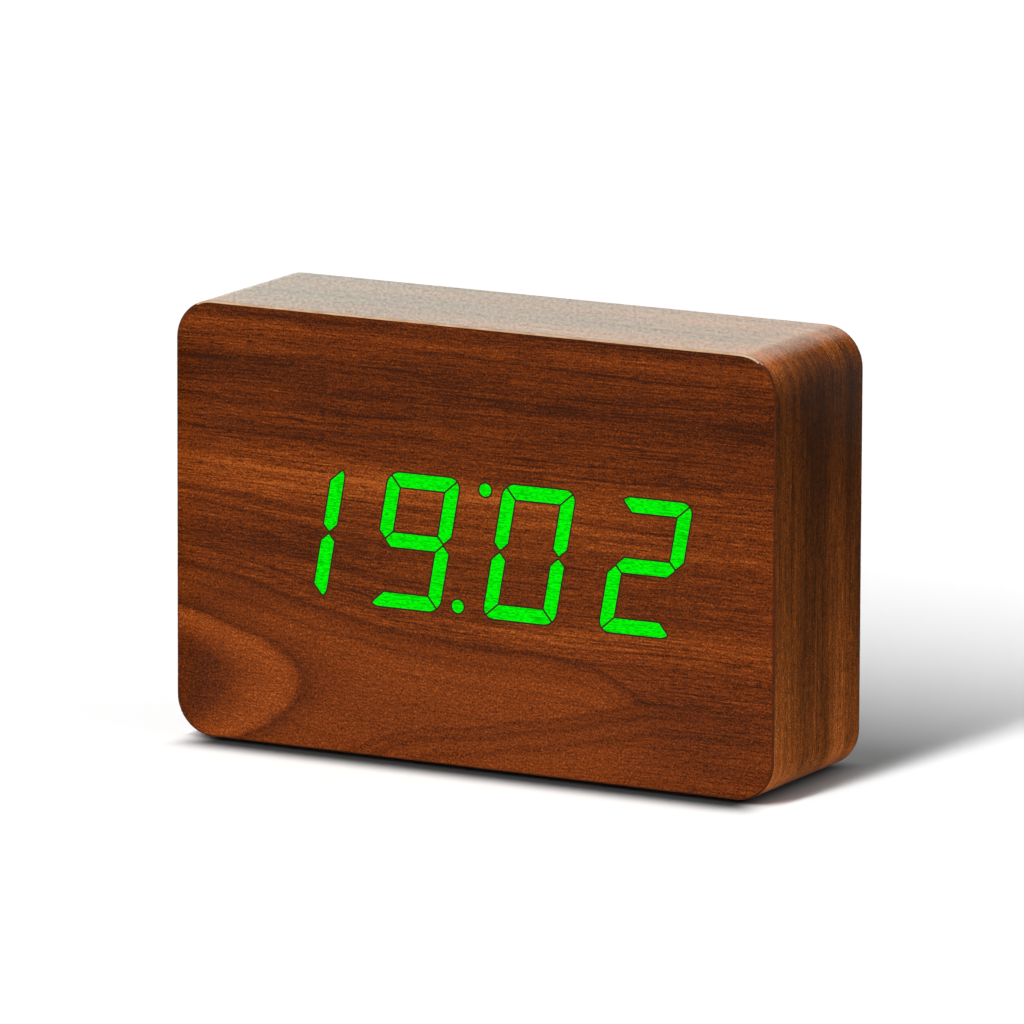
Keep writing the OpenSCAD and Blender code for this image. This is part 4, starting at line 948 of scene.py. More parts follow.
@dataclass
class Digits:
    """The lit time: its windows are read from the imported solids, so they stay where the light is. Sizes in mm."""

    case: Case
    # Width of the painted shade round each window
    shade_rim: float = 0.38
    pocket: float = 0.1
    shrink: float = 0.06
    # Corners under this angle, in degrees, are tips
    sharp: float = 100.0
    # How much is cut off a tip beside another window and off one that stands alone, at most a third of an edge
    blunt: Pair = (0.2, 0.6)
    alone: float = 1.5
    windows: list[Loop] = field(init=False)
    points: Loop = field(init=False)
    faces: dict[Region, list[tuple[int, ...]]] = field(init=False)

    # Points nearer than this are one, faces within this of the front are on it, and the least cosine of a mitre
    MERGE_MM, FLAT_MM, MITRE = 1e-4, 0.01, 0.6

    @property
    def face_y(self) -> float:
        """Depth of the front face."""
        return -self.case.depth / 2

    def __post_init__(self) -> None:
        """Split the front face into veneer, dark rims of painted shade and lit windows."""
        # Light fades at a window's edge and in its tips, so what glows is a little smaller than the solids
        solids = self._windows()
        self.windows = [self._grown(self._blunted(loop, solids), -self.shrink) for loop in solids]
        shade_rims = [self._grown(loop, self.shade_rim) for loop in self.windows]
        border = self.case.outline(self.case.ease)
        points: list[Vector] = []
        edges: list[tuple[int, int]] = []
        for loop in [border, *self.windows, *shade_rims]:
            first = len(points)
            points += [Vector(p) for p in loop]
            edges += [(first + i, first + (i + 1) % len(loop)) for i in range(len(loop))]
        verts, _, faces, *_ = delaunay_2d_cdt(points, edges, [], 0, self.MERGE_MM)
        self.points = [(v.x, v.y) for v in verts]
        self.faces = {region: [] for region in Region}
        for face in faces:
            corners = [self.points[i] for i in face]
            centre = (sum(p[0] for p in corners) / 3, sum(p[1] for p in corners) / 3)
            if any(inside(centre, loop) for loop in self.windows):
                region = Region.LIT
            elif any(inside(centre, loop) for loop in shade_rims):
                region = Region.SHADE_RIM
            else:
                region = Region.VENEER
            self.faces[region].append(tuple(face))

    def _windows(self) -> list[Loop]:
        """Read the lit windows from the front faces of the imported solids.

        Returns:
            The outline of each window.
        """
        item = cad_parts["lit_segments"]
        count: dict[tuple[Point, Point], int] = {}
        for face in item.data.polygons:
            corners = [item.data.vertices[i].co / MM for i in face.vertices]
            if all(abs(c.y - self.face_y) < self.FLAT_MM for c in corners):
                ring = [(round(c.x, 3), round(c.z, 3)) for c in corners]
                for a, b in zip(ring, ring[1:] + ring[:1]):
                    key = (b, a) if (b, a) in count else (a, b)
                    count[key] = count.get(key, 0) + 1
        onward: dict[Point, list[Point]] = {}
        for (a, b), used in count.items():
            if used == 1:
                onward.setdefault(a, []).append(b)
                onward.setdefault(b, []).append(a)
        loops: list[Loop] = []
        left = set(onward)
        while left:
            start = min(left)
            loop = [start]
            left.discard(start)
            while True:
                ahead = [p for p in onward[loop[-1]] if p in left]
                if not ahead:
                    break
                loop.append(ahead[0])
                left.discard(ahead[0])
            loops.append(loop)
        return loops

    def _blunted(self, loop: Loop, loops: list[Loop]) -> Loop:
        """Give a loop with its sharp tips cut off.

        Args:
            loop: Outline of one window.
            loops: Outlines of all windows.

        Returns:
            The outline, with two points for each sharp tip.
        """
        others = [point for other in loops if other is not loop for point in other]
        cut: Loop = []
        for i, point in enumerate(loop):
            tip, ends = Vector(point), [Vector(loop[i - 1]), Vector(loop[(i + 1) % len(loop)])]
            ways = [end - tip for end in ends]
            if ways[0].angle(ways[1]) < math.radians(self.sharp):
                lonely = all(math.dist(point, other) > self.alone for other in others)
                cut += [tuple(tip + way.normalized() * min(self.blunt[lonely], way.length / 3)) for way in ways]
            else:
                cut.append(point)
        return cut

    def _grown(self, loop: Loop, by: float) -> Loop:
        """Give a loop moved outwards.

        Args:
            loop: Its corners.
            by: Distance outwards, or inwards where it is below 0.

        Returns:
            The moved corners.
        """
        area = sum(a[0] * b[1] - b[0] * a[1] for a, b in zip(loop, loop[1:] + loop[:1]))
        way = 1 if area > 0 else -1
        grown: Loop = []
        for i, point in enumerate(loop):
            before = Vector(point) - Vector(loop[i - 1])
            after = Vector(loop[(i + 1) % len(loop)]) - Vector(point)
            normals = [Vector((edge.y, -edge.x)).normalized() * way for edge in (before, after)]
            middle = (normals[0] + normals[1]).normalized()
            spread = max(middle.dot(normals[0]), self.MITRE)
            grown.append(tuple(Vector(point) + middle * (by / spread)))
        return grown

    def fill(self, shape: Shape, region: Region, y: float) -> None:
        """Add the faces of one region to a mesh.

        Args:
            shape: Mesh in metres.
            region: The region.
            y: Depth of its faces.
        """
        made: dict[int, bmesh.types.BMVert] = {}
        for face in self.faces[region]:
            for i in face:
                if i not in made:
                    x, z = self.points[i]
                    made[i] = shape.verts.new((x * MM, y * MM, z * MM))
            shape.faces.new([made[i] for i in face])

    def edges(self, regions: Sequence[Region]) -> list[tuple[int, int]]:
        """Give the outer edges of the regions taken together.

        Args:
            regions: The regions.

        Returns:
            Both ends of each edge, as places in the list of points.
        """
        count: dict[frozenset[int], tuple[int, int]] = {}
        for region in regions:
            for face in self.faces[region]:
                for a, b in zip(face, face[1:] + face[:1]):
                    key = frozenset((a, b))
                    if key in count:
                        del count[key]
                    else:
                        count[key] = (a, b)
        return list(count.values())

    def wall(self, shape: Shape, near: float, far: float,
             regions: Sequence[Region] = (Region.SHADE_RIM, Region.LIT)) -> None:
        """Add walls along the outer edges of the regions to a mesh.

        Args:
            shape: Mesh in metres.
            near: Depth at which the walls begin.
            far: Depth at which they end.
            regions: The regions.
        """
        for a, b in self.edges(regions):
            corners = [(self.points[i], y) for i, y in ((a, near), (b, near), (b, far), (a, far))]
            shape.faces.new([shape.verts.new((x * MM, y * MM, z * MM)) for (x, z), y in corners])

    def build(self) -> None:
        """Make and settle the lit windows and their dark rims of painted shade."""
        for region, name, finish, slot, nodes in (
                (Region.LIT, "lit_windows", Glow.LIT, "lit_green", ["lit_segments"]),
                (Region.SHADE_RIM, "window_shade_rims", Glow.SHADE_RIM, "walnut_front", [])):
            shape = bmesh.new()
            near, far = self.face_y, self.face_y + self.pocket
            self.fill(shape, region, near)
            self.fill(shape, region, far)
            self.wall(shape, near, far, (region,))
            close(shape)
            settle(new_piece(name, shape, [finish]), "case", nodes)


@dataclass(frozen=True)
class Turned:
    """A round part that repeats: Geometry Nodes turn its profile about Y and set it at each place. Sizes in mm."""

    name: str
    finish: Finish
    profile: Sequence[Point]
    places: Sequence[Place]
    turns: Sequence[Place] = ()
    sides: int = 48
    # Width and length of a driver's cross, and the height of its floor
    cross: Triple = (0.0, 0.0, 0.0)

    TREE = "turn_and_set"
    # Height of the bars that cut a cross, well over its depth
    BAR_MM = 4.0

    def build(self) -> bpy.types.Object:
        """Make one mesh of the part at all its places.

        Returns:
            The new piece.
        """
        stations = bpy.data.meshes.new("stations")
        stations.from_pydata([(r * MM, y * MM, 0.0) for r, y in self.profile]
                             + [tuple(c * MM for c in place) for place in self.places], [], [])
        turn = stations.attributes.new("turn", "FLOAT_VECTOR", "POINT")
        for i, angles in enumerate(self.turns, len(self.profile)):
            turn.data[i].vector = [math.radians(a) for a in angles]
        bench = bpy.data.objects.new("bench", stations)
        bpy.context.scene.collection.objects.link(bench)
        modifier = bench.modifiers.new("turning", "NODES")
        modifier.node_group = self._tree()
        width, length, floor = self.cross
        given = {"Profile Points": len(self.profile), "Sides": self.sides, "Cross Width": width * MM,
                 "Cross Length": length * MM, "Cross Floor": floor * MM, "Material": self.finish.material()}
        for socket in modifier.node_group.interface.items_tree:
            if socket.in_out == "INPUT" and socket.name in given:
                modifier[socket.identifier] = given[socket.name]
        view = bpy.context.evaluated_depsgraph_get()
        mesh = bpy.data.meshes.new_from_object(bench.evaluated_get(view))
        bench.modifiers.remove(modifier)
        bpy.data.objects.remove(bench)
        shape = bmesh.new()
        shape.from_mesh(mesh)
        bmesh.ops.recalc_face_normals(shape, faces=shape.faces)
        smooth(shape)
        bpy.data.meshes.remove(mesh)
        return new_piece(self.name, shape, [self.finish])

    def _tree(self) -> Tree:
        """Give the tree that turns and sets, made at the first call.

        Returns:
            The tree, whose inputs are a part's profile, places and sizes.
        """
        found = bpy.data.node_groups.get(self.TREE)
        if found is not None:
            return found
        tree = bpy.data.node_groups.new(self.TREE, "GeometryNodeTree")
        for name, kind in (("Geometry", "Geometry"), ("Profile Points", "Int"), ("Sides", "Int"),
                           ("Cross Width", "Float"), ("Cross Length", "Float"), ("Cross Floor", "Float"),
                           ("Material", "Material")):
            tree.interface.new_socket(name, in_out="INPUT", socket_type=f"NodeSocket{kind}")
        tree.interface.new_socket("Geometry", in_out="OUTPUT", socket_type="NodeSocketGeometry")
        given = add(tree, "NodeGroupInput").outputs
        index = add(tree, "GeometryNodeInputIndex")
        drawn = add(tree, "FunctionNodeCompare", {"A": index, "B": given["Profile Points"]}, data_type="INT",
                    operation="LESS_THAN")
        split = add(tree, "GeometryNodeSeparateGeometry", {"Geometry": given["Geometry"], "Selection": drawn},
                    domain="POINT")
        part = self._turned(tree, given, split.outputs["Selection"])
        part = self._crossed(tree, given, part)
        turns = add(tree, "GeometryNodeInputNamedAttribute", {"Name": "turn"}, data_type="FLOAT_VECTOR")
        rotation = add(tree, "FunctionNodeEulerToRotation", {"Euler": turns})
        copies = add(tree, "GeometryNodeInstanceOnPoints", {"Points": split.outputs["Inverted"], "Instance": part,
                                                            "Rotation": rotation})
        real = add(tree, "GeometryNodeRealizeInstances", {"Geometry": copies})
        dressed = add(tree, "GeometryNodeSetMaterial", {"Geometry": real, "Material": given["Material"]})
        add(tree, "NodeGroupOutput", {"Geometry": dressed})
        return tree

    def _turned(self, tree: Tree, given: bpy.types.bpy_prop_collection, profile: Socket) -> Node:
        """Sweep the profile's points round the Y axis as a closed skin.

        Args:
            tree: Tree that gets the nodes.
            given: The tree's inputs.
            profile: The profile's points.

        Returns:
            The node whose output is the turned part.
        """
        index = add(tree, "GeometryNodeInputIndex")
        stops = add(tree, "ShaderNodeMath", {0: given["Sides"], 1: 1.0}, operation="ADD")
        grid = add(tree, "GeometryNodeMeshGrid", {"Vertices X": given["Profile Points"], "Vertices Y": stops})
        ring = add(tree, "ShaderNodeMath", {0: index, 1: stops}, operation="DIVIDE")
        ring = add(tree, "ShaderNodeMath", {0: ring}, operation="FLOOR")
        step = add(tree, "ShaderNodeMath", {0: index, 1: stops}, operation="MODULO")
        share = add(tree, "ShaderNodeMath", {0: step, 1: given["Sides"]}, operation="DIVIDE")
        angle = add(tree, "ShaderNodeMath", {0: share, 1: math.tau}, operation="MULTIPLY")
        position = add(tree, "GeometryNodeInputPosition")
        point = add(tree, "GeometryNodeSampleIndex", {"Geometry": profile, "Value": position, "Index": ring},
                    data_type="FLOAT_VECTOR", domain="POINT")
        swept = add(tree, "ShaderNodeVectorRotate", {"Vector": point, "Angle": angle}, rotation_type="Y_AXIS")
        skin = add(tree, "GeometryNodeSetPosition", {"Geometry": grid, "Position": swept})
        return add(tree, "GeometryNodeMergeByDistance", {"Geometry": skin, "Distance": WELD_MM * MM})

    def _crossed(self, tree: Tree, given: bpy.types.bpy_prop_collection, part: Node) -> Node:
        """Cut a driver's cross into the part's outer end, where it has one.

        Args:
            tree: Tree that gets the nodes.
            given: The tree's inputs.
            part: The turned part.

        Returns:
            The node whose output is the part, with its cross.
        """
        high = add(tree, "ShaderNodeMath", {0: given["Cross Floor"], 1: self.BAR_MM * MM / 2}, operation="ADD")
        place = add(tree, "ShaderNodeCombineXYZ", {"Y": high})
        cut = add(tree, "GeometryNodeMeshBoolean", {"Mesh 1": part}, operation="DIFFERENCE")
        for long, short in (("X", "Z"), ("Z", "X")):
            size = add(tree, "ShaderNodeCombineXYZ", {long: given["Cross Length"], "Y": self.BAR_MM * MM,
                                                      short: given["Cross Width"]})
            bar = add(tree, "GeometryNodeMeshCube", {"Size": size})
            bar = add(tree, "GeometryNodeTransform", {"Geometry": bar, "Translation": place})
            plug(tree, cut, {"Mesh 2": bar})
        wanted = add(tree, "FunctionNodeCompare", {"A": given["Cross Length"], "B": 0.0}, data_type="FLOAT",
                     operation="GREATER_THAN")
        return add(tree, "GeometryNodeSwitch", {"Switch": wanted, "False": part, "True": cut},
                   input_type="GEOMETRY")


@dataclass(frozen=True)
class Rear:
    """Round parts on the back and underside, and the marks beside the controls: sizes in mm."""

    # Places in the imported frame: the panel's face, the buttons, screws, feet and cells, and the slider's slot
    face: float = 19.6
    button_row: float = 68.55
    buttons: tuple[tuple[str, float], ...] = (("set", 42.05), ("up", 27.05), ("down", 12.05))
    screw_at: Point = (58.55, 33.05)
    middle: float = 50.5
    foot_at: Point = (59.0, 13.0)
    cell_rows: tuple[float, ...] = (33.05, 44.05, 55.05, 66.05)
    cell_y: float = 11.85
    cell_nub: float = 24.75
    bay_x: float = -31.9
    slot_at: Point = (40.05, 53.55)
    # Height of the letters, the type size for each mm of it, the steps in their curves and the thickness of the ink
    letter: float = 2.6
    type_size: float = 1.35
    type_steps: int = 4
    film: float = 0.05
    # How far the marks stand above the buttons and below the slider, and to the sides of it for ON and for OFF
    mark_over: float = 6.4
    mark_under: float = 4.8
    mark_sides: Pair = (3.6, -3.0)
    # Place of an arrow's foot, as a share of half its height
    arrow_foot: float = 0.8

    # Width and length of the cross in a screw's head, and the height of its floor
    CROSS = (0.75, 3.1, 19.4)
    # Profiles: radius and place along the axis, from the outer end to the inner one
    SCREW = ((0.0, 20.3), (0.9, 20.26), (1.6, 20.1), (2.15, 19.8), (2.5, 19.4), (2.6, 19.1), (2.6, 18.7),
             (1.3, 18.7), (1.3, 9.6), (0.0, 8.7))
    BUTTON = ((0.0, 20.2), (1.2, 20.22), (2.2, 20.32), (2.8, 20.44), (3.05, 20.5), (3.25, 20.47), (3.4, 20.38),
              (3.48, 20.24), (3.5, 20.05), (3.5, 16.95), (4.5, 16.95), (4.5, 16.15), (2.0, 16.15), (2.0, 15.6),
              (0.0, 15.6))
    FOOT = ((0.0, 1.0), (5.0, 1.0), (5.0, 0.32), (4.93, 0.14), (4.78, 0.03), (4.6, 0.0), (3.3, 0.0), (3.2, 0.12),
            (2.9, 0.12), (2.8, 0.0), (0.0, 0.0))
    # An AAA cell lies along its axis from its nub at 0
    SLEEVE = ((4.3, -1.2), (5.0, -1.22), (5.2, -1.4), (5.25, -1.7), (5.25, -44.1), (5.15, -44.4), (4.6, -44.5),
              (4.3, -44.3))
    BAND = ((5.0, -1.9), (5.26, -1.95), (5.26, -9.4), (5.0, -9.45))
    CAN = ((0.0, 0.0), (1.6, 0.0), (1.85, -0.1), (1.9, -0.3), (1.9, -1.0), (2.2, -1.15), (4.5, -1.25), (4.5, -44.4),
           (3.6, -44.4), (3.4, -44.3), (0.0, -44.3))

    def build(self) -> None:
        """Make and settle every piece."""
        aside, rise = self.screw_at
        corners = [(x * aside, 0.0, self.middle + z * rise) for x in (-1, 1) for z in (-1, 1)]
        screws = Turned("panel_screw_set", Plating.OXIDE, self.SCREW, corners, cross=self.CROSS)
        settle(screws.build(), "case", ["panel_screws"])
        pads = [(x * self.foot_at[0], y * self.foot_at[1], 0.0) for x in (-1, 1) for y in (-1, 1)]
        feet = Turned("foot_pads", Moulding.RUBBER, self.FOOT, pads, turns=[(90.0, 0.0, 0.0)] * len(pads))
        settle(feet.build(), "case", ["rubber_feet"])
        for name, x in self.buttons:
            cap = Turned(f"{name}_cap", Moulding.BUTTON, self.BUTTON, [(x, 0.0, self.button_row)])
            settle(cap.build(), f"{name}_key", [f"{name}_button"])
        self._cells()
        self._marks()

    def _cells(self) -> None:
        """Lay four cells in the bay, nubs by turns to either side."""
        ways = [1 if row % 2 == 0 else -1 for row in range(len(self.cell_rows))]
        places = [(self.bay_x + way * self.cell_nub, self.cell_y, z) for way, z in zip(ways, self.cell_rows)]
        turns = [(0.0, 0.0, -90.0 * way) for way in ways]
        for name, finish, profile, slot, nodes in (
                ("cell_sleeves", Moulding.SLEEVE, self.SLEEVE, "cell_sleeve", ["aaa_cells"]),
                ("cell_bands", Moulding.BAND, self.BAND, "cell_sleeve", []),
                ("cell_cans", Plating.NICKEL, self.CAN, "contact_nickel", [])):
            settle(Turned(name, finish, profile, places, turns).build(), "case", nodes)

    def _marks(self) -> None:
        """Print the words and arrows beside the controls."""
        over, under = self.button_row + self.mark_over, self.slot_at[1] - self.mark_under
        on, off = (self.slot_at[0] + side for side in self.mark_sides)
        shape = bmesh.new()
        for word, x, z in (("SET", self.buttons[0][1], over), ("ON", on, under), ("OFF", off, under)):
            self._word(shape, word, (x, z))
        half = self.letter / 2
        for (_, x), way in zip(self.buttons[1:], (1, -1)):
            foot = over - way * half * self.arrow_foot
            self._prism(shape, [(x - half, foot), (x + half, foot), (x, over + way * half)])
        bmesh.ops.recalc_face_normals(shape, faces=shape.faces)
        settle(new_piece("control_marks", shape, [Moulding.PRINT]), "case")

    def _word(self, shape: Shape, word: str, at: Point) -> None:
        """Add a word to a mesh, to be read from behind.

        Args:
            shape: Mesh in metres.
            word: The word.
            at: Place of its middle, to the right and up.
        """
        curve = bpy.data.curves.new(word, "FONT")
        curve.body = word
        curve.size = self.letter * self.type_size
        curve.align_x, curve.align_y = "CENTER", "CENTER"
        curve.extrude = self.film / 2
        curve.resolution_u = self.type_steps
        text = bpy.data.objects.new(word, curve)
        mesh = bpy.data.meshes.new_from_object(text)
        bpy.data.objects.remove(text)
        turn = Matrix(((-1, 0, 0, at[0]), (0, 0, 1, self.face + self.film / 2), (0, 1, 0, at[1]), (0, 0, 0, 1)))
        mesh.transform(Matrix.Scale(MM, 4) @ turn)
        shape.from_mesh(mesh)
        bpy.data.meshes.remove(mesh)

    def _prism(self, shape: Shape, loop: Loop) -> None:
        """Add a thin flat sign to a mesh.

        Args:
            shape: Mesh in metres.
            loop: Its outline.
        """
        rings = rings_of(shape, [(loop, y) for y in (self.face, self.face + self.film)])
        bridge(shape, rings)
        for ring in rings:
            shape.faces.new(ring)


@dataclass(frozen=True)
class Fittings:
    """Solids that keep their CAD shape: the nodes of each finish."""

    finishes: tuple[tuple[Finish, tuple[str, ...]], ...] = (
        (Moulding.MASK, ("segment_mask", "buzzer")),
        (Moulding.LENS, ("segment_lenses",)),
        (Moulding.MASKED_BOARD, ("display_board", "control_board")),
        (Moulding.LED, ("segment_leds",)),
        (Moulding.EPOXY, ("driver_chips", "clock_chip")),
        (Plating.ZINC, ("display_screws", "board_screws", "jack_nut")),
        (Moulding.SOCKET, ("ribbon_sockets",)),
        (Moulding.RIBBON, ("ribbon_cable",)),
        (Moulding.PANEL, ("rear_panel",)),
        (Moulding.DOOR, ("battery_door",)),
        (Plating.SPRING, ("battery_springs",)),
        (Plating.NICKEL, ("contact_plates",)),
        (Moulding.RED_WIRE, ("battery_leads",)),
        (Moulding.BLACK_WIRE, ("jack_leads",)),
        (Plating.CAN, ("timing_crystal", "microphone")),
        (Moulding.CAPACITOR, ("capacitors",)),
        (Plating.STAMPED, ("tact_switches", "alarm_switch")),
        (Moulding.BUTTON, ("alarm_slider", "set_plunger", "up_plunger", "down_plunger", "switch_lever")),
        (Moulding.JACK, ("dc_jack",)),
        (Plating.BRASS, ("jack_pin",)),
    )

    def build(self) -> None:
        """Dress each node with its finish."""
        for finish, nodes in self.finishes:
            for node in nodes:
                dress(node, finish)


@dataclass(frozen=True)
class Studio:
    """Camera, lamps, floor and world, after the camera fitted to the photograph: metres and degrees."""

    azimuth: float = 28.44
    elevation: float = 11.22
    roll: float = 0.22
    # Focal length and width of the sensor, in mm
    lens: float = 401.2
    sensor: float = 36.0
    distance: float = 2.531
    sight: float = 50.0
    target: Place = (-1.26 * MM, 0.0, 54.92 * MM)
    key_azimuth: float = 6.3
    key_angle: float = 7.0
    # Elevation of each strip of the tall softbox, and the light it puts on the floor
    key_strips: tuple[Pair, ...] = ((30.0, 0.195), (41.0, 0.205), (52.0, 0.165), (63.0, 0.135), (74.0, 0.13))
    key_step: float = 11.0
    ambient: float = 0.1
    floor_far: str = "#303030"
    floor_near: str = "#F4F4F4"
    floor_reach: Pair = (0.14, 0.3)
    floor_size: float = 12.0
    # The contact shade: how near the clock crowds the floor, how open the floor is where the shade is full and where
    # it is gone, its colour, the rays that feel for it, and from where to where it ends under the rounded sides
    contact_reach: float = 0.0145
    contact_open: Pair = (0.56, 0.96)
    contact_shade: str = "#383838"
    contact_rays: int = 16
    contact_ends: Pair = (0.065, 0.0755)
    white: str = "#FFFFFF"
    fill_level: float = 0.62
    fill_elevation: float = 8.0
    fill_angle: float = 40.0
    flag_place: float = 0.0785
    flag_foot: float = 0.0655
    flag_lift: float = 0.4 * MM
    # Side, length and height of each flag: the low one leaves the top its glare
    flags: tuple[tuple[int, float, float], ...] = ((1, 0.9, 0.45), (-1, 0.06, 0.09))
    flag_sheen: str = "#302F2E"
    flag_haze: str = "#6A6A6A"
    # Heights at which a haze sets in, is full, fades and ends, and how much lower they lie for each metre of depth
    haze_reach: tuple[float, ...] = (0.08, 0.104, 0.109, 0.124)
    haze_lean: float = 0.5
    # The sky that reflections see, warmer and brighter than the white that the camera sees
    sky: str = "#FFFDEE"
    sky_gain: float = 1.21

    # Velvet: black and dead matt
    VELVET = Mottled("velvet_black", "#020202", "#050505", (2.0, 2.0, 2.0), (0.95, 1.0), specular=0.0)

    def build(self) -> None:
        """Make the camera, the lamps, the floor and the world."""
        scene = bpy.context.scene
        scene.view_settings.view_transform = "Standard"
        self._camera(scene)
        self._lamps(scene)
        self._floor(scene)
        velvet = self._velvet()
        for flag in self.flags:
            self._flag(scene, flag, velvet)
        self._world(scene)

    def _camera(self, scene: bpy.types.Scene) -> None:
        """Place the camera where the photograph was taken from.

        Args:
            scene: Scene that gets the camera.
        """
        az, el, roll = (math.radians(a) for a in (self.azimuth, self.elevation, self.roll))
        back = Vector((math.sin(az) * math.cos(el), -math.cos(az) * math.cos(el), math.sin(el)))
        right = Vector((math.cos(az), math.sin(az), 0.0))
        up = back.cross(right)
        across = right * math.cos(roll) + up * math.sin(roll)
        upward = up * math.cos(roll) - right * math.sin(roll)
        data = bpy.data.cameras.new("photo_camera")
        data.lens = self.lens
        data.sensor_width = self.sensor
        data.clip_end = self.sight
        camera = bpy.data.objects.new("photo_camera", data)
        turn = Matrix((across, upward, back)).transposed().to_4x4()
        camera.matrix_world = Matrix.Translation(Vector(self.target) + back * self.distance) @ turn
        scene.collection.objects.link(camera)
        scene.camera = camera

    def _lamps(self, scene: bpy.types.Scene) -> None:
        """Hang the tall, narrow softbox in front, as a row of soft suns, and the reflector on the right.

        Args:
            scene: Scene that gets the lamps.
        """
        az = math.radians(self.key_azimuth)
        for elevation, level in self.key_strips:
            # Two suns to a strip, so that their shadows run into each other
            for el in (math.radians(elevation + side * self.key_step / 4) for side in (-1, 1)):
                toward = Vector((-math.sin(az) * math.cos(el), -math.cos(az) * math.cos(el), math.sin(el)))
                data = bpy.data.lights.new(f"softbox_{elevation:.0f}", "SUN")
                data.energy = math.pi * level / 2 / math.sin(el)
                data.angle = math.radians(self.key_angle)
                self._hang(scene, data, toward)
        # The reflector lifts the right side: it casts no shadow, and what it lights throws none of that light on
        el = math.radians(self.fill_elevation)
        data = bpy.data.lights.new("reflector_right", "SUN")
        data.energy = math.pi * self.fill_level
        data.angle = math.radians(self.fill_angle)
        data.use_shadow = False
        data.cycles.max_bounces = 0
        self._hang(scene, data, Vector((math.cos(el), 0.0, math.sin(el))))

    def _hang(self, scene: bpy.types.Scene, data: bpy.types.Light, toward: Vector) -> None:
        """Turn a lamp so that its light comes from a direction.

        Args:
            scene: Scene that gets the lamp.
            data: The lamp.
            toward: Direction from the clock to the lamp.
        """
        lamp = bpy.data.objects.new(data.name, data)
        lamp.rotation_euler = toward.to_track_quat("Z", "Y").to_euler()
        scene.collection.objects.link(lamp)

    def _floor(self, scene: bpy.types.Scene) -> None:
        """Lay a white floor.

        Args:
            scene: Scene that gets the floor.
        """
        half = self.floor_size / 2
        mesh = bpy.data.meshes.new("studio_floor")
        mesh.from_pydata([(-half, -half, 0), (half, -half, 0), (half, half, 0), (-half, half, 0)], [],
                         [(0, 1, 2, 3)])
        mesh.materials.append(self._paper())
        floor = bpy.data.objects.new("studio_floor", mesh)
        scene.collection.objects.link(floor)

    def _paper(self) -> bpy.types.Material:
        """Give the floor's paper, which keeps the shadow, darkens close to the clock and throws back little light.

        Returns:
            The new material.
        """
        material = bpy.data.materials.new("paper_white_sweep")
        material.use_nodes = True
        tree = material.node_tree
        place = add(tree, "ShaderNodeTexCoord").outputs["Object"]
        away = add(tree, "ShaderNodeVectorMath", {0: place}, operation="LENGTH")
        near, far = self.floor_reach
        fade = add(tree, "ShaderNodeMapRange", {"Value": away.outputs["Value"], "From Min": near,
                                                "From Max": far}, interpolation_type="SMOOTHSTEP")
        bounce = add(tree, "ShaderNodeMix", {"Factor": fade, "A": linear(self.floor_near),
                                             "B": linear(self.floor_far)}, data_type="RGBA")
        crowd = add(tree, "ShaderNodeAmbientOcclusion", {"Distance": self.contact_reach},
                    samples=self.contact_rays)
        full, gone = self.contact_open
        contact = add(tree, "ShaderNodeMapRange", {"Value": crowd.outputs["AO"], "From Min": full,
                                                   "From Max": gone}, interpolation_type="SMOOTHSTEP")
        # The contact shade ends under the rounded sides, where light gets in below the clock
        end = add(tree, "ShaderNodeSeparateXYZ", {0: place}).outputs["X"]
        end = add(tree, "ShaderNodeMath", {0: end}, operation="ABSOLUTE")
        near, far = self.contact_ends
        end = add(tree, "ShaderNodeMapRange", {"Value": end, "From Min": near, "From Max": far},
                  interpolation_type="SMOOTHSTEP")
        contact = add(tree, "ShaderNodeMath", {0: contact, 1: end}, operation="MAXIMUM")
        shown = add(tree, "ShaderNodeMix", {"Factor": contact, "A": linear(self.contact_shade),
                                            "B": linear(self.white)}, data_type="RGBA")
        colour = add(tree, "ShaderNodeMix", {"Factor": self._seen(tree), "A": bounce, "B": shown},
                     data_type="RGBA")
        plug(tree, tree.nodes["Principled BSDF"], {"Base Color": colour, "Roughness": 1.0,
                                                   "Specular IOR Level": 0.0})
        return material

    def _velvet(self) -> bpy.types.Material:
        """Give the flags' velvet a little light, and a band of haze, so that its reflection doesn't look dead.

        Returns:
            The material.
        """
        velvet = self.VELVET.material()
        tree = velvet.node_tree
        place = add(tree, "ShaderNodeSeparateXYZ", {0: add(tree, "ShaderNodeTexCoord").outputs["Object"]})
        climb = add(tree, "ShaderNodeMath", {0: place.outputs["Y"], 1: self.haze_lean, 2: place.outputs["Z"]},
                    operation="MULTIPLY_ADD")
        shades = (self.flag_sheen, self.flag_haze, self.flag_haze, self.flag_sheen)
        haze = add(tree, "ShaderNodeValToRGB", {"Fac": climb}, stops=tuple(zip(self.haze_reach, shades)))
        plug(tree, tree.nodes["Principled BSDF"], {"Emission Color": haze, "Emission Strength": 1.0})
        return velvet

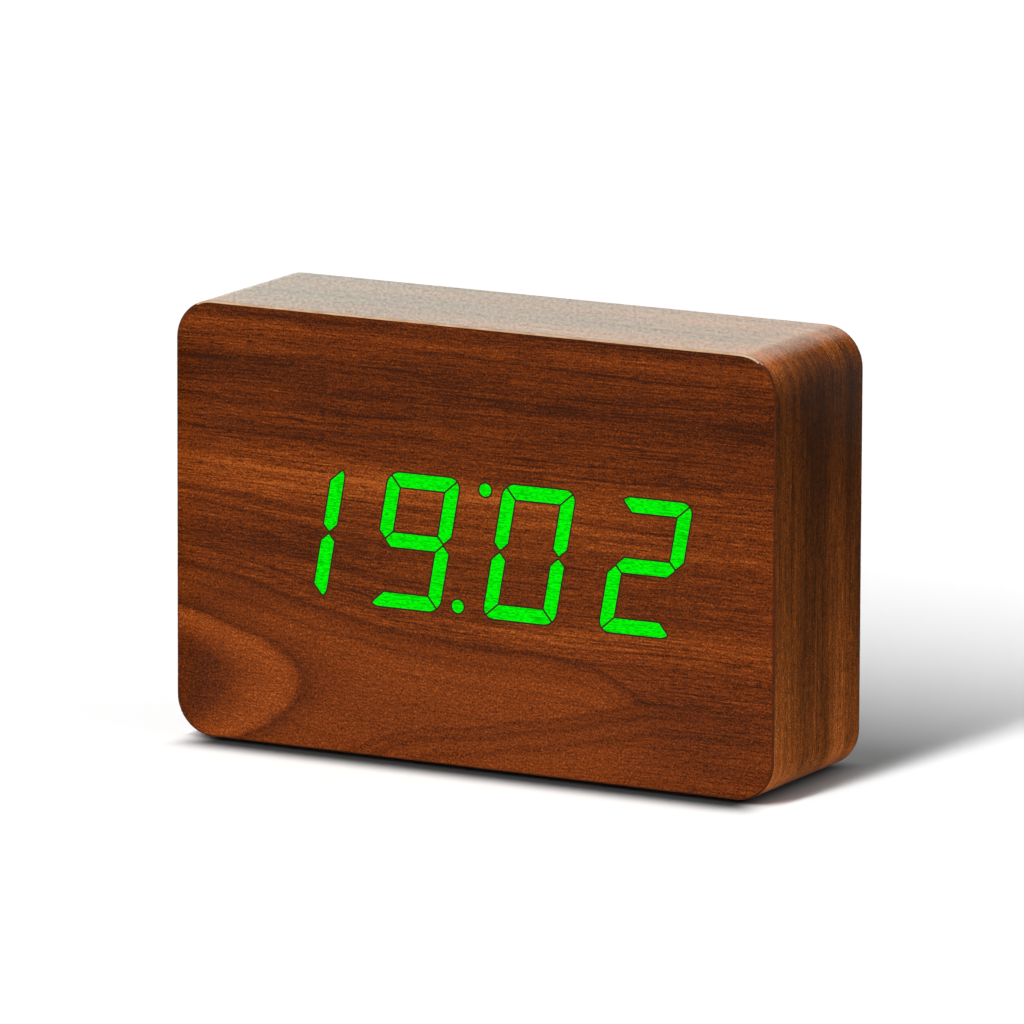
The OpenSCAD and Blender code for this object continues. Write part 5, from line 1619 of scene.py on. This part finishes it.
    def _flag(self, scene: bpy.types.Scene, flag: tuple[int, float, float], velvet: bpy.types.Material) -> None:
        """Stand a bent black card beside the clock that only reflections see, to keep glare off that side.

        Args:
            scene: Scene that gets the card.
            flag: Side of the clock, and length and height of the card.
            velvet: The card's material.
        """
        side, long, high = flag
        mesh = bpy.data.meshes.new("black_flag")
        bend = ((self.flag_foot, self.flag_lift), (self.flag_place, self.flag_lift), (self.flag_place, high))
        mesh.from_pydata([(side * x, y, z) for x, z in bend for y in (-long / 2, long / 2)], [],
                         [(0, 1, 3, 2), (2, 3, 5, 4)])
        mesh.materials.append(velvet)
        card = bpy.data.objects.new("black_flag", mesh)
        scene.collection.objects.link(card)
        card.visible_camera = card.visible_diffuse = card.visible_shadow = card.visible_transmission = False

    def _seen(self, tree: Tree) -> Node:
        """Tell the rays that show the background from those that only carry light.

        Args:
            tree: Tree that gets the nodes.

        Returns:
            The node whose output is 1 for rays from the camera, off gloss or through glass.
        """
        rays = add(tree, "ShaderNodeLightPath")
        shiny = add(tree, "ShaderNodeMath", {0: rays.outputs["Is Camera Ray"], 1: rays.outputs["Is Glossy Ray"]},
                    operation="MAXIMUM")
        return add(tree, "ShaderNodeMath", {0: shiny, 1: rays.outputs["Is Transmission Ray"]}, operation="MAXIMUM")

    def _world(self, scene: bpy.types.Scene) -> None:
        """Surround the scene with white that lights it only gently.

        Args:
            scene: Scene that gets the world.
        """
        world = bpy.data.worlds.new("white_studio")
        world.use_nodes = True
        tree = world.node_tree
        strength = add(tree, "ShaderNodeMapRange", {"Value": self._seen(tree), "To Min": self.ambient,
                                                    "To Max": 1.0})
        glossy = add(tree, "ShaderNodeLightPath").outputs["Is Glossy Ray"]
        bright = [shade * self.sky_gain for shade in linear(self.sky)]
        colour = add(tree, "ShaderNodeMix", {"Factor": glossy, "A": linear(self.white), "B": bright},
                     data_type="RGBA")
        plug(tree, tree.nodes["Background"], {"Color": colour, "Strength": strength})
        scene.world = world


def main() -> None:
    """Build the studio and the clock."""
    logging.basicConfig(level=logging.INFO, format="%(name)s: %(message)s")
    Studio().build()
    case = Case()
    digits = Digits(case)
    case.build(digits)
    digits.build()
    Rear().build()
    Fittings().build()


if __name__ == "__main__":
    main()
